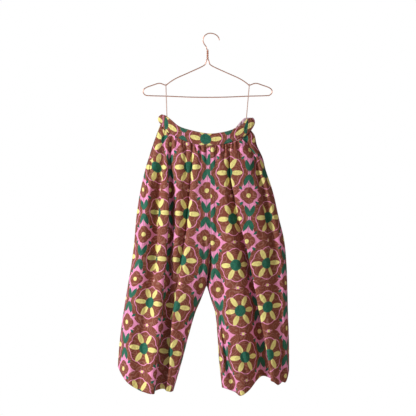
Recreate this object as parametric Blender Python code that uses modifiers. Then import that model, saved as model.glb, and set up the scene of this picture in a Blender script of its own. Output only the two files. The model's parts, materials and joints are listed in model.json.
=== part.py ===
"""Palazzo pants hung by two ribbon loops from a bent-wire clothes hanger.

Metres, +Z up. The front of the pants faces -Y, and left and right are the sides seen from the front.
The origin is the top of the hook's inner curve, where the rail that holds the hanger touches it.
Tables are in millimetres, and every object is scaled by MM when its mesh is made.
"""

import math
from collections import namedtuple

import bmesh
import bpy
from mathutils import Vector

MM = 0.001

# Cloth
WALL = 1.4
BAND_WALL = 2.6
SEAM_GAP = 0.3
SEAM_MARGIN = 0.2
BAND_CLEARANCE = 1.4
BAND_EASE = 45.0

# How square the plain form is in plan: at the waist's side, lower down, and at the inseam
WAIST_SQUARENESS = 2.0
LEG_SQUARENESS = 3.0
INSEAM_SQUARENESS = 5.0

# Heights that the fold tables are read at
HIP_Z = -540.0
CROTCH_Z = -855.0
VALLEY_TOP_Z = -690.0
HEM_REFERENCE_Z = -1205.0
INNER_GUIDES = (0.95, 1.0)

# Small gathers under the waistband
GATHER_WAVE = 24.0
GATHER_AT_SEAM = 1.2
GATHER_DEPTH = 3.6
GATHER_REACH = 46.0
GATHER_CALM = 12.0
POCKET_CALM = 70.0

# Ruched elastic of the back waistband
RUCHE_COUNT = 28
RUCHE_DEPTH = 1.8
RUCHE_COLUMNS = 4

# Slanted side pockets of the front: where the opening leaves the waist seam, how far it runs down
POCKET_TOPS = {-1: -136.0, 1: 105.0}
POCKET_END_Z = -452.0
POCKET_LEAST = 4.0
POCKET_END_WIDTH = 16.0
POCKET_GAP = 0.9
POCKET_COLUMNS = 5
POCKET_LAP_COLUMNS = 2

# Wire hanger
WIRE_RADIUS = 1.8
NECK_X = -9.2
HOOK_HEIGHT = 24.0
HOOK_REACH_LEFT = 25.0
HOOK_REACH_RIGHT = 30.5
TWIST_TURNS = 2.5
TWIST_TOP_Z = -54.0
TWIST_BOTTOM_Z = -86.0
TWIST_CLEARANCE = 0.35
TWIST_STEPS = 12

# Hanging loops
RIBBON_WIDTH = 3.2
RIBBON_WALL = 1.0
RIBBON_CLEARANCE = 0.4
NOTCH_CLEARANCE = 1.4
RIBBON_END_Z = -302.0
LOOPS = {"left": (-150.7, -147.0), "right": (132.3, 122.5)}

Finish = namedtuple("Finish", "colour roughness metallic")
PRINTED_COTTON = Finish((0.55, 0.20, 0.26), 0.85, 0.0)
TAPE = Finish((0.55, 0.38, 0.30), 0.7, 0.0)
COPPER = Finish((0.86, 0.50, 0.38), 0.3, 1.0)

Section = namedtuple("Section", "z left right depth")
OUTLINE = (
    Section(-296, -164, 134, 13),
    Section(-326, -176, 138, 17),
    Section(-345, -183, 150, 20),
    Section(-379, -195, 158, 26),
    Section(-420, -208, 177, 36),
    Section(-460, -220, 187, 44),
    Section(-540, -238, 213, 53),
    Section(-620, -250, 231, 58),
    Section(-700, -257, 250, 60),
    Section(-782, -267, 258, 62),
    Section(-864, -281, 261, 62),
    Section(-945, -294, 263, 63),
    Section(-1027, -305, 266, 65),
    Section(-1108, -312, 267, 67),
    Section(-1225, -315, 266, 69),
)

Inner = namedtuple("Inner", "z left right")
INSEAM = (
    Inner(-855, -14, -11),
    Inner(-905, -34, 4),
    Inner(-945, -51, 17),
    Inner(-1027, -75, 25),
    Inner(-1108, -96, 30),
    Inner(-1225, -130, 43),
)
SEAM_LOW_Z = -379.0
CENTRE_SEAM = ((SEAM_LOW_Z, 0), (-700, 1), (-790, -1), (-830, -7), (CROTCH_Z, -12))

# Edges of the waistband, left to right: the front's upper edge, the back's, and the seam below
TOP_EDGE = (
    (-164, -274),
    (-150, -278),
    (-131, -293),
    (-110, -311),
    (-88, -321),
    (-37, -334),
    (0, -339),
    (37, -335),
    (69, -327),
    (101, -312),
    (127, -288),
    (143, -285),
)
BACK_TOP_EDGE = (
    (-164, -274),
    (-150, -280),
    (-110, -315),
    (-60, -336),
    (0, -345),
    (50, -337),
    (84, -318),
    (104, -297),
    (118, -285),
    (143, -285),
)
TOP_EDGES = {-1: TOP_EDGE, 1: BACK_TOP_EDGE}
SEAM_EDGE = (
    (-168, -306),
    (-157, -322),
    (-142, -336),
    (-119, -347),
    (-88, -363),
    (-37, -377),
    (0, -379),
    (41, -376),
    (67, -369),
    (97, -357),
    (124, -342),
    (138, -326),
)
BAND_END_BULGE = {-1: 11.0, 1: 9.0}
BAND_END_POWER = 12
BAND_MEASURES = 400
TOP_DEPTH = 17.0
BAND_SEAM_LEFT = -150.0
BAND_SEAM_RIGHT = 127.5
BAND_ROWS = 3
FRONT_BAND_COLUMNS = 34

# One row for each crest or trough that runs down a panel, from the side seam inwards.
# x and the lift off the panel's plain form are read at the waist, hip, crotch and hem.
Fold = namedtuple("Fold", "name waist hip crotch hem lift_waist lift_hip lift_crotch lift_hem hem_z")
FRONT_LEFT = (
    Fold("side_crest", -160, -212, -250, -281, 0, 6, 8, 8, -1180),
    Fold("side_trough", -149, -172, -199, -234, -2, -15, -11, -2, -1209),
    Fold("strip_crest", -139, -150, -166, -204, 2, 13, 15, 18, -1218),
    Fold("strip_trough", -128, -135, -154, -188, -2, -17, -20, -22, -1208),
    Fold("panel_crest", -104, -106, -132, -177, 1, 3, -2, -12, -1206),
    Fold("pleat_trough", -69, -74, -112, -165, -2, -8, -9, -12, -1209),
    Fold("pleat_crest", -58, -62, -98, -156, 1, 5, 4, -7, -1211),
    Fold("centre_flat", -26, -28, -54, -147, 0, 1, 2, -4, -1213),
)
FRONT_RIGHT = (
    Fold("side_crest", 128, 197, 244, 251, 0, 3, 6, 8, -1182),
    Fold("side_trough", 121, 176, 218, 232, -1, -10, -4, 3, -1180),
    Fold("pocket_crest", 108, 160, 196, 214, 1, 6, 8, 13, -1190),
    Fold("panel_crest", 74, 96, 160, 196, 2, 9, 15, 18, -1176),
    Fold("panel_trough", 63, 84, 146, 166, -2, -9, -18, -34, -1163),
    Fold("mid_crest", 44, 54, 104, 126, 1, 4, 9, 8, -1211),
    Fold("inner_crest", 24, 28, 54, 97, 0, 1, 5, 14, -1225),
    Fold("inner_trough", 15, 17, 38, 68, 0, -1, -8, -12, -1215),
)
BACK_LEFT = (
    Fold("side_crest", -160, -216, -250, -284, 0, 6, 7, 6, -1178),
    Fold("side_trough", -146, -190, -214, -258, -4, -12, -12, -14, -1196),
    Fold("outer_crest", -128, -156, -176, -226, 3, 9, 14, 16, -1211),
    Fold("outer_trough", -104, -122, -146, -203, -3, -10, -14, -20, -1204),
    Fold("mid_crest", -78, -88, -114, -182, 3, 7, 10, 6, -1212),
    Fold("mid_trough", -50, -56, -84, -165, -3, -6, -8, -12, -1208),
    Fold("inner_crest", -24, -26, -50, -150, 1, 2, 3, 0, -1212),
)
BACK_RIGHT = (
    Fold("side_crest", 130, 196, 240, 250, 0, 5, 6, 6, -1178),
    Fold("side_trough", 122, 170, 212, 222, -3, -11, -10, -12, -1182),
    Fold("outer_crest", 106, 142, 180, 192, 3, 9, 13, 16, -1166),
    Fold("outer_trough", 84, 110, 146, 160, -3, -9, -13, -22, -1162),
    Fold("mid_crest", 60, 78, 108, 124, 3, 7, 10, 14, -1212),
    Fold("mid_trough", 38, 48, 70, 92, -3, -6, -9, -16, -1204),
    Fold("inner_crest", 18, 24, 36, 66, 1, 2, 4, 4, -1210),
)
Panel = namedtuple("Panel", "folds side face side_hem_z inner_hem_z gather_phase")
PANELS = {
    "front_left": Panel(FRONT_LEFT, -1, -1, -1130, -1213, 0.4),
    "front_right": Panel(FRONT_RIGHT, 1, -1, -1142, -1202, 2.1),
    "back_left": Panel(BACK_LEFT, -1, 1, -1130, -1213, 1.2),
    "back_right": Panel(BACK_RIGHT, 1, 1, -1142, -1202, 3.0),
}
COLUMN_PITCH = 11.5
UPPER_ROWS = (0.0, 0.07, 0.16, 0.27, 0.4, 0.56, 0.76, 1.0)
HIP_ROWS = 5
CROTCH_ROWS = (1.93, 2.0, 2.07)
LEG_ROWS = 7

# Half of the hanger's frame, from the neck outwards: distance from the neck's axis, and height
FRAME_HALF = (
    (5, -94),
    (7.5, -103),
    (15, -109),
    (62, -131),
    (112, -154),
    (136, -170.5),
    (139.6, -174.2),
    (143.6, -174.4),
    (148, -172.5),
    (163, -168),
    (188, -175),
    (209, -183),
    (217.5, -190),
    (218.5, -199),
    (211, -208),
    (195, -210),
    (140, -211.5),
    (70, -214.5),
)
FRAME_CENTRE_Z = -215.5
NOTCH = 6


# ---------------------------------------------------------------- numbers


def blend(a, b, t):
    return a + (b - a) * t


def curve_through(points, x):
    """Smooth curve through (x, y) points sorted by x either way, held level past both ends."""
    rows = sorted(points)
    if x <= rows[0][0]:
        return rows[0][1]
    if x >= rows[-1][0]:
        return rows[-1][1]
    i = max(k for k in range(len(rows) - 1) if rows[k][0] <= x)

    def slope(k):
        low, high = max(k - 1, 0), min(k + 1, len(rows) - 1)
        return (rows[high][1] - rows[low][1]) / (rows[high][0] - rows[low][0])

    (x0, y0), (x1, y1) = rows[i], rows[i + 1]
    span = x1 - x0
    t = (x - x0) / span
    start = (2 * t**3 - 3 * t**2 + 1) * y0 + (t**3 - 2 * t**2 + t) * span * slope(i)
    end = (3 * t**2 - 2 * t**3) * y1 + (t**3 - t**2) * span * slope(i + 1)
    return start + end


def spline_point(a, b, c, d, t):
    """Point on the centripetal Catmull-Rom curve from b to c."""
    knots = [0.0]
    for p, q in ((a, b), (b, c), (c, d)):
        knots.append(knots[-1] + max((q - p).length, 1e-6) ** 0.5)
    u = blend(knots[1], knots[2], t)

    def between(p, q, i, j):
        return p.lerp(q, (u - knots[i]) / (knots[j] - knots[i]))

    ab, bc, cd = between(a, b, 0, 1), between(b, c, 1, 2), between(c, d, 2, 3)
    return between(between(ab, bc, 0, 2), between(bc, cd, 1, 3), 1, 2)


def lengths_along(row):
    lengths = [0.0]
    for a, b in zip(row, row[1:]):
        lengths.append(lengths[-1] + (b - a).length)
    return lengths


def point_along(row, lengths, wanted):
    """The point at a length along a row of points."""
    i = max(k for k in range(len(row) - 1) if lengths[k] <= wanted or k == 0)
    return row[i].lerp(row[i + 1], (wanted - lengths[i]) / (lengths[i + 1] - lengths[i]))


def outline_at(z, column):
    return curve_through([(row.z, getattr(row, column)) for row in OUTLINE], z)


def side_x(z, side):
    return outline_at(z, "left" if side < 0 else "right")


def centre_x(z):
    return curve_through(CENTRE_SEAM, z)


def inner_x(z, side):
    """Centre seam above the crotch, inseam below it."""
    if z >= CROTCH_Z:
        return centre_x(z)
    return curve_through([(row.z, row.left if side < 0 else row.right) for row in INSEAM], z)


def seam_closeness(z):
    """1 where left and right lie in one surface, 0 where the legs have parted."""
    if z >= VALLEY_TOP_Z:
        return 1.0
    if z <= CROTCH_Z:
        return 0.0
    return 1.0 - ((VALLEY_TOP_Z - z) / (VALLEY_TOP_Z - CROTCH_Z)) ** 1.5


def plain_depth(fraction, z):
    """Distance of the plain form from the middle plane, at a fraction of the way in from the side seam."""
    lowered = min(1.0, max(0.0, (z - SEAM_LOW_Z) / (HIP_Z - SEAM_LOW_Z)))
    squareness = blend(WAIST_SQUARENESS, LEG_SQUARENESS, lowered)
    at_side = (1 - (1 - fraction) ** squareness) ** (1 / squareness)
    at_inner = (1 - fraction**INSEAM_SQUARENESS) ** (1 / INSEAM_SQUARENESS)
    parted = 1 - seam_closeness(z)
    return outline_at(z, "depth") * at_side * (1 - parted * (1 - at_inner))


# ---------------------------------------------------------------- leg panels


def fraction_at(x, z, side):
    """How far x lies from the side seam (0) to the centre seam or inseam (1)."""
    outer = side_x(z, side)
    return (x - outer) / (inner_x(z, side) - outer)


def fold_lines(panel):
    """Each line as (height, fraction, lift) at the waist, hip, crotch and hem."""
    lines = []
    for fold in panel.folds:
        heights = (curve_through(SEAM_EDGE, fold.waist), HIP_Z, CROTCH_Z, HEM_REFERENCE_Z)
        places = (fold.waist, fold.hip, fold.crotch, fold.hem)
        lifts = (fold.lift_waist, fold.lift_hip, fold.lift_crotch, fold.lift_hem)
        rows = [
            (z, fraction_at(x, z, panel.side), lift) for z, x, lift in zip(heights, places, lifts)
        ]
        lines.append((rows, fold.hem_z))
    return lines


def height_at(waist_z, hem_z, level):
    """Height at level 0 (waist), 1 (hip), 2 (crotch) or 3 (hem), and between them."""
    stops = (waist_z, HIP_Z, CROTCH_Z, hem_z)
    i = min(int(level), 2)
    return blend(stops[i], stops[i + 1], level - i)


def panel_guides(panel, level):
    """The points that one row of the panel runs through, from the side seam inwards."""
    side, face = panel.side, panel.face
    side_waist = SEAM_EDGE[0 if side < 0 else -1]
    z = height_at(side_waist[1], panel.side_hem_z, level)
    guides = [Vector((side_x(z, side), face * SEAM_GAP / 2, z))]
    for rows, hem_z in fold_lines(panel):
        z = height_at(rows[0][0], hem_z, level)
        fraction = curve_through([(row[0], row[1]) for row in rows], z)
        lift = curve_through([(row[0], row[2]) for row in rows], z)
        x = blend(side_x(z, side), inner_x(z, side), fraction)
        guides.append(Vector((x, face * (plain_depth(fraction, z) + lift), z)))
    z = height_at(curve_through(SEAM_EDGE, 0), panel.inner_hem_z, level)
    for fraction in INNER_GUIDES:
        depth = max(plain_depth(fraction, z), SEAM_GAP / 2)
        x = blend(side_x(z, side), inner_x(z, side), fraction)
        guides.append(Vector((x, face * depth, z)))
    return guides


def with_ends(guides, z):
    """Adds a point past each end, mirrored so that the row meets its neighbour smoothly."""
    first, last, before = guides[1], guides[-1], guides[-2]
    start = Vector((first.x, -first.y, first.z))
    across_centre = Vector((2 * last.x - before.x, before.y, before.z))
    across_leg = Vector((before.x, -before.y, before.z))
    end = across_leg.lerp(across_centre, seam_closeness(z))
    return [start, *guides, end]


def column_stations(panel):
    """Where the columns stand, as (guide interval, part of it), closer where the cloth is folded."""
    rows = [panel_guides(panel, level) for level in (0, 1, 2, 3)]
    stations = []
    for i in range(len(rows[0]) - 1):
        length = sum((row[i + 1] - row[i]).length for row in rows) / len(rows)
        count = max(2, round(length / COLUMN_PITCH))
        stations += [(i, k / count) for k in range(count)]
    return stations + [(len(rows[0]) - 2, 1.0)]


def gather(arc, drop, phase):
    """Lift of the small uneven gathers, at a distance along the seam and below it."""
    depth = blend(GATHER_AT_SEAM, GATHER_DEPTH, min(1.0, drop / 18.0)) * math.exp(-((drop / GATHER_REACH) ** 2) / 2)
    uneven = 1 + 0.35 * math.sin(arc / 31 + phase)
    return depth * uneven * math.cos(math.tau * arc / GATHER_WAVE + 1.3 * math.sin(arc / 47 + phase))


def panel_row(panel, level, stations):
    """Points of one row of the panel, gathers included."""
    guides = panel_guides(panel, level)
    ends = with_ends(guides, guides[-1].z)
    return [spline_point(*ends[i : i + 4], t) for i, t in stations]


def add_gathers(panel, rows):
    """Lifts the upper rows into gathers that fade down the panel."""
    arcs = lengths_along(rows[0])
    side_calm = POCKET_CALM if panel.face < 0 else GATHER_CALM
    for row in rows:
        for k, point in enumerate(row):
            drop = rows[0][k].z - point.z
            ease = min(1.0, arcs[k] / side_calm, (arcs[-1] - arcs[k]) / GATHER_CALM)
            point.y += panel.face * ease * gather(arcs[k], drop, panel.gather_phase)


def clear_of_seams(panel, rows):
    """Moves the edges of a panel back, so that its wall stays clear of the panels it is sewn to."""
    for row in rows:
        for edge, inward in ((row[0], row[1]), (row[-1], row[-2])):
            along = (edge - inward).normalized()
            reach = (SEAM_GAP + SEAM_MARGIN) / 2 + abs(along.x) * WALL / 2
            edge.y = panel.face * max(panel.face * edge.y, reach)
        for point in row:
            if point.z < CROTCH_Z - 1:
                continue
            along = (row[-1] - row[-2]).normalized()
            reach = (SEAM_GAP + SEAM_MARGIN) / 2 + abs(along.y) * WALL / 2
            outward = panel.side * (point.x - centre_x(point.z))
            point.x += panel.side * max(0.0, reach - outward)


def row_levels():
    levels = list(UPPER_ROWS)
    levels += [1 + k / HIP_ROWS for k in range(1, HIP_ROWS)]
    levels += CROTCH_ROWS
    levels += [2 + k / LEG_ROWS for k in range(1, LEG_ROWS + 1)]
    return levels


def hang_from_band(panel, rows):
    """Brings the top row to the waistband's seam, and the rows below it with it, less and less."""
    for k, top in enumerate(rows[0]):
        top_z = top.z
        shift = seam_point(top.x, panel.face) - top
        for row in rows:
            drop = top_z - row[k].z
            row[k] += shift * math.exp(-((drop / BAND_EASE) ** 2) / 2)


def panel_points(panel):
    stations = column_stations(panel)
    rows = [panel_row(panel, level, stations) for level in row_levels()]
    hang_from_band(panel, rows)
    add_gathers(panel, rows)
    clear_of_seams(panel, rows)
    for point in rows[0]:
        point.z -= seam_drop(point.x)
    return rows


# ---------------------------------------------------------------- waistband


def seam_point(x, face):
    """Where the waistband and the leg panels meet, at a distance from the middle."""
    end = SEAM_EDGE[0][0] if x < 0 else SEAM_EDGE[-1][0]
    z = curve_through(SEAM_EDGE, x)
    return Vector((x, face * plain_depth(1 - min(1.0, x / end), z), z))


def seam_drop(x):
    """How far below the seam a panel's edge starts, more where the seam is steep."""
    inward = x - math.copysign(1, x)
    slope = curve_through(SEAM_EDGE, inward) - curve_through(SEAM_EDGE, x)
    return BAND_CLEARANCE * math.hypot(1, slope)


def top_point(x, face):
    """The waistband's upper edge, at a distance from the middle."""
    end = TOP_EDGE[0][0] if x < 0 else TOP_EDGE[-1][0]
    depth = TOP_DEPTH * (1 - min(1.0, x / end) ** 2) ** 0.5
    return Vector((x, face * depth, curve_through(TOP_EDGES[face], x)))


def band_point(angle, share, ruche=0.0):
    """A point of the waistband's ring: angle is 0 at the left end, a quarter turn at the front's
    middle and half a turn at the right end; share is 0 at the upper edge and 1 at the seam."""
    across = -math.cos(angle)
    face = -1 if math.sin(angle) > 0 else 1
    end = 0 if across < 0 else -1
    top = top_point(abs(across) * TOP_EDGE[end][0], face)
    seam = seam_point(abs(across) * SEAM_EDGE[end][0], face)
    point = top.lerp(seam, share)
    side = -1 if across < 0 else 1
    ruche *= 1 - 0.5 * across**8
    bulge = BAND_END_BULGE[side] * math.sin(math.pi * share**0.8) * abs(across) ** BAND_END_POWER
    point.x += side * bulge + ruche * across**3
    point.y += face * ruche * (1 - across**6)
    return point


def band_angle(x, top_x):
    return math.acos(-x / top_x)


def even_angles(start, stop, count):
    """Angles between start and stop that part the waistband's ring into equal lengths."""
    fine = [blend(start, stop, k / BAND_MEASURES) for k in range(BAND_MEASURES + 1)]
    lengths = lengths_along([band_point(angle, 0.5) for angle in fine])
    angles = []
    i = 0
    for k in range(count + 1):
        wanted = lengths[-1] * k / count
        while i < BAND_MEASURES - 1 and lengths[i + 1] < wanted:
            i += 1
        angles.append(blend(fine[i], fine[i + 1], (wanted - lengths[i]) / (lengths[i + 1] - lengths[i])))
    return angles


def band_grid(angles, ruches):
    """Rows of points from the waistband's upper edge down to its seam."""
    rows = []
    for j in range(BAND_ROWS + 1):
        rows.append([band_point(a, j / BAND_ROWS, r) for a, r in zip(angles, ruches)])
    for row in rows:
        row[0] += (row[1] - row[0]).normalized() * SEAM_GAP / 2
        row[-1] += (row[-2] - row[-1]).normalized() * SEAM_GAP / 2
    return rows


def front_band_rows():
    left = band_angle(BAND_SEAM_LEFT, -TOP_EDGE[0][0])
    right = band_angle(BAND_SEAM_RIGHT, TOP_EDGE[-1][0])
    return band_grid(even_angles(left, right, FRONT_BAND_COLUMNS), [0.0] * (FRONT_BAND_COLUMNS + 1))


def back_band_rows():
    """The ruched band, from the right seam round the back to the left seam."""
    right = band_angle(BAND_SEAM_RIGHT, TOP_EDGE[-1][0])
    left = band_angle(BAND_SEAM_LEFT, -TOP_EDGE[0][0]) + math.tau
    count = RUCHE_COUNT * RUCHE_COLUMNS
    ruches = []
    for k in range(count + 1):
        ease = min(1.0, k / RUCHE_COLUMNS, (count - k) / RUCHE_COLUMNS)
        ruches.append(RUCHE_DEPTH * ease * math.cos(math.tau * k / RUCHE_COLUMNS))
    return band_grid(even_angles(right, left, count), ruches)


# ---------------------------------------------------------------- pockets


def beyond_opening(point, panel):
    """How far a point lies to the side of the slanted line of the pocket's opening."""
    top_x = POCKET_TOPS[panel.side]
    top_z = curve_through(SEAM_EDGE, top_x)
    rise = (point.z - POCKET_END_Z) / (top_z - POCKET_END_Z)
    if rise < 0:
        return -1.0
    return panel.side * (point.x - blend(side_x(POCKET_END_Z, panel.side), top_x, rise))


def opening_length(row, panel):
    """How far along a row, from the side seam, the opening crosses it."""
    lengths = lengths_along(row)
    found = 0.0
    for k in range(len(row) // 2):
        here, ahead = beyond_opening(row[k], panel), beyond_opening(row[k + 1], panel)
        if here > 0 >= ahead:
            found = blend(lengths[k], lengths[k + 1], here / (here - ahead))
    return found


def cut_pocket(rows, openings):
    """Draws the side edge of a front panel in to the slanted opening, along its own surface."""
    cut = []
    for row, opening in zip(rows, openings):
        lengths = lengths_along(row)
        settled = 2 * opening + 1
        moved = []
        for length in lengths:
            eased = opening + length * (settled - opening) / settled
            moved.append(point_along(row, lengths, eased if length < settled else length))
        cut.append(moved)
    return cut


def moved_in(rows, distance, turn):
    """The same surface, moved along its normals; turn is 1 or -1 and says to which side."""
    moved = []
    for j, row in enumerate(rows):
        above, below = rows[max(j - 1, 0)], rows[min(j + 1, len(rows) - 1)]
        line = []
        for k, point in enumerate(row):
            along = row[min(k + 1, len(row) - 1)] - row[max(k - 1, 0)]
            normal = along.cross(below[k] - above[k]).normalized()
            line.append(point + normal * (turn * distance))
        moved.append(line)
    return moved


def pocket_facing(panel, rows, cut, openings):
    """The cloth inside a side pocket: the panel's own surface, moved in behind the opening."""
    surface = []
    for row, front, opening in zip(rows, cut, openings):
        lengths = lengths_along(row)
        if opening < POCKET_LEAST:
            columns = POCKET_COLUMNS + POCKET_LAP_COLUMNS
            steps = [POCKET_END_WIDTH * k / columns for k in range(columns + 1)]
            surface.append([point_along(row, lengths, step) for step in steps])
            break
        side = [point_along(row, lengths, opening * k / POCKET_COLUMNS) for k in range(POCKET_COLUMNS)]
        surface.append(side + front[: POCKET_LAP_COLUMNS + 1])
    facing = moved_in(surface, WALL + POCKET_GAP, -panel.side * panel.face)
    for line, row in zip(facing, rows):
        for point in line:
            point.y = panel.face * max(panel.face * point.y, panel.face * row[0].y)
    return facing


# ---------------------------------------------------------------- meshes


def material(name, finish):
    """Each piece's own material."""
    made = bpy.data.materials.new(name)
    made.use_nodes = True
    shader = made.node_tree.nodes["Principled BSDF"]
    shader.inputs["Base Color"].default_value = (*finish.colour, 1.0)
    shader.inputs["Roughness"].default_value = finish.roughness
    shader.inputs["Metallic"].default_value = finish.metallic
    made.diffuse_color = (*finish.colour, 1.0)
    return made


def add_object(name, data, finish, collection):
    made = bpy.data.objects.new(name, data)
    made.data.materials.append(material(name + " finish", finish))
    collection.objects.link(made)
    return made


def cloth(name, rows, wall, finish, collection):
    """A sewn piece: a grid of points, row by row, given the thickness of its cloth."""
    mesh = bpy.data.meshes.new(name)
    shape = bmesh.new()
    columns = len(rows[0])
    bmesh.ops.create_grid(shape, x_segments=columns - 1, y_segments=len(rows) - 1, size=1)
    shape.verts.ensure_lookup_table()
    for vertex, point in zip(shape.verts, [p for row in rows for p in row]):
        vertex.co = point * MM
    shape.to_mesh(mesh)
    shape.free()
    mesh.shade_smooth()
    made = add_object(name, mesh, finish, collection)
    solid = made.modifiers.new("Thickness", "SOLIDIFY")
    solid.thickness = wall * MM
    solid.offset = 0.0
    return made


def wire(name, route, radius, finish, collection):
    """A tube of round wire along a route."""
    data = bpy.data.curves.new(name, "CURVE")
    data.dimensions = "3D"
    data.bevel_depth = radius * MM
    data.bevel_resolution = 1
    data.use_fill_caps = True
    spline = data.splines.new("POLY")
    spline.points.add(len(route) - 1)
    for point, place in zip(spline.points, route):
        point.co = (*(place * MM), 1.0)
    return add_object(name, data, finish, collection)


# ---------------------------------------------------------------- hanger


def smooth_route(points, pitch):
    """The same route with a point about every pitch, rounded through its corners."""
    ends = [2 * points[0] - points[1], *points, 2 * points[-1] - points[-2]]
    route = []
    for i in range(len(points) - 1):
        count = max(1, round((points[i + 1] - points[i]).length / pitch))
        route += [spline_point(*ends[i : i + 4], k / count) for k in range(count)]
    return route + [points[-1]]


def hook_route():
    """The hook from its tip over the top and down to the neck."""
    middle = Vector((0, 0, WIRE_RADIUS - HOOK_HEIGHT))
    route = []
    for step in range(11):
        turn = math.radians(18 * step)
        reach = HOOK_REACH_RIGHT if step < 5 else HOOK_REACH_LEFT
        route.append(middle + Vector((reach * math.cos(turn), 0, HOOK_HEIGHT * math.sin(turn))))
    return route + [Vector((-21, 0, -34)), Vector((-14.5, 0, -43))]


def strand(start, down):
    """One of the two wires twisted round each other in the neck."""
    reach = WIRE_RADIUS + TWIST_CLEARANCE / 2
    count = round(TWIST_STEPS * TWIST_TURNS)
    route = []
    for step in range(count + 1):
        turn = start + math.tau * TWIST_TURNS * step / count
        z = blend(TWIST_TOP_Z, TWIST_BOTTOM_Z, step / count)
        route.append(Vector((NECK_X + reach * math.cos(turn), reach * math.sin(turn), z)))
    return route if down else route[::-1]


def hanger_route():
    """One wire: hook, down through the twisted neck, round the frame and up the twist to its end."""
    half = [Vector((x, 0, z)) for x, z in FRAME_HALF]
    right = [Vector((NECK_X + p.x, 0, p.z)) for p in half]
    left = [Vector((NECK_X - p.x, 0, p.z)) for p in reversed(half)]
    frame = smooth_route([*right, Vector((NECK_X, 0, FRAME_CENTRE_Z)), *left], 14)
    return smooth_route(hook_route(), 9) + strand(math.pi, True) + frame + strand(0, False)


# ---------------------------------------------------------------- hanging loops


def loop_rows(notch_x, band_x):
    """A ribbon from inside the waistband, over the hanger's notch and back down."""
    notch_z = FRAME_HALF[NOTCH][1]
    reach = WIRE_RADIUS + NOTCH_CLEARANCE + RIBBON_WALL / 2
    outer_x = band_x + math.copysign(RIBBON_WIDTH, band_x)
    inside_y = top_point(outer_x, -1).y + (BAND_WALL + RIBBON_WALL) / 2 + RIBBON_CLEARANCE
    below_bar = FRAME_CENTRE_Z - 6
    end_z = RIBBON_END_Z
    route = [(inside_y, end_z), (inside_y, end_z + 18), (-reach, below_bar), (-reach, notch_z)]
    for step in range(1, 6):
        turn = math.pi * step / 6
        route.append((-reach * math.cos(turn), notch_z + reach * math.sin(turn)))
    behind = inside_y + RIBBON_WALL + RIBBON_CLEARANCE
    route += [(reach, notch_z), (reach, below_bar), (behind, end_z + 18), (behind, end_z)]
    rows = []
    for y, z in route:
        x = blend(notch_x, band_x, min(1.0, max(0.0, (notch_z - z) / (notch_z - end_z - 18))))
        rows.append([Vector((x - RIBBON_WIDTH / 2, y, z)), Vector((x + RIBBON_WIDTH / 2, y, z))])
    return rows


# ---------------------------------------------------------------- assembly


def leg_panel(name, panel, collection):
    """A leg panel, and behind a front one the facing of its pocket."""
    rows = panel_points(panel)
    if panel.face < 0:
        openings = [opening_length(row, panel) for row in rows]
        cut = cut_pocket(rows, openings)
        facing = pocket_facing(panel, rows, cut, openings)
        cloth("pocket_facing_" + name.split("_")[1], facing, WALL, PRINTED_COTTON, collection)
        rows = cut
    cloth("leg_" + name, rows, WALL, PRINTED_COTTON, collection)


def build():
    for item in list(bpy.data.objects):
        bpy.data.objects.remove(item)
    pants = bpy.data.collections.new("Palazzo pants")
    bpy.context.scene.collection.children.link(pants)
    for name, panel in PANELS.items():
        leg_panel(name, panel, pants)
    cloth("waistband_front", front_band_rows(), BAND_WALL, PRINTED_COTTON, pants)
    cloth("waistband_back", back_band_rows(), BAND_WALL, PRINTED_COTTON, pants)
    for side, (notch_x, band_x) in LOOPS.items():
        cloth("hanging_loop_" + side, loop_rows(notch_x, band_x), RIBBON_WALL, TAPE, pants)
    wire("hanger", hanger_route(), WIRE_RADIUS, COPPER, pants)


build()
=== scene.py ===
"""Detailed model of palazzo pants that hang by two ribbon loops from a bent-wire clothes hanger.

Metres, +Z up. The front of the pants faces -Y, and left and right are the sides seen from the front.
The origin is the top of the hook's inner curve. Tables are in millimetres, and every piece is scaled by
MM when its mesh is made.
"""

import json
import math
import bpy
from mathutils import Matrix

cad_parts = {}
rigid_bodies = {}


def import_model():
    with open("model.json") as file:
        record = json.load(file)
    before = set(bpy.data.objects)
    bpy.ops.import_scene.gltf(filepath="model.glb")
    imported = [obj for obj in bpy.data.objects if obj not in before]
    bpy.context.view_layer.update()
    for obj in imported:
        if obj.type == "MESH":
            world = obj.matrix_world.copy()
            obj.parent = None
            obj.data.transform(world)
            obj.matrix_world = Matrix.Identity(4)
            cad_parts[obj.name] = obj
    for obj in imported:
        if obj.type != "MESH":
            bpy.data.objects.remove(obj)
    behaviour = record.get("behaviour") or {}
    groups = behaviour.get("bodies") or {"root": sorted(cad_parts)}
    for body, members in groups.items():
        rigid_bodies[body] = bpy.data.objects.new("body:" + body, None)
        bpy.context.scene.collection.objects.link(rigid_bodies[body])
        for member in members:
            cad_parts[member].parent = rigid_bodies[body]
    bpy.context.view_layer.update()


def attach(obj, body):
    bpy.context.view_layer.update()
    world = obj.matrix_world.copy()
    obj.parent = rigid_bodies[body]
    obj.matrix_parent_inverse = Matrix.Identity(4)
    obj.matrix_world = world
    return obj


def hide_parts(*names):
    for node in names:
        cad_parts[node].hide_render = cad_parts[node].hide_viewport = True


bl_info = {
    "name": "Palazzo pants on a wire hanger",
    "version": (1, 0, 0),
    "blender": (4, 5, 0),
    "location": "View3D > Sidebar > Pants",
    "description": "Builds printed palazzo pants that hang by ribbon loops from a copper wire hanger",
    "category": "Object",
}

from bisect import bisect
from collections import namedtuple
from functools import lru_cache

import bmesh
import bpy
from mathutils import Matrix, Vector, noise

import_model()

MM = 0.001

# Walls that the cloth's form leaves room for, and how pieces meet at their seams
WALL = 1.4
BAND_WALL = 2.6
SEAM_GAP = 0.3
SEAM_LAP = 0.06
BAND_CLEARANCE = 1.4
# How far down the panels follow the waistband's seam
BAND_EASE = 45.0

# How square the plain form is in plan: at the waist's side, lower down, and at the inseam
WAIST_SQUARENESS = 2.0
LEG_SQUARENESS = 3.0
INSEAM_SQUARENESS = 5.0

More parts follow.
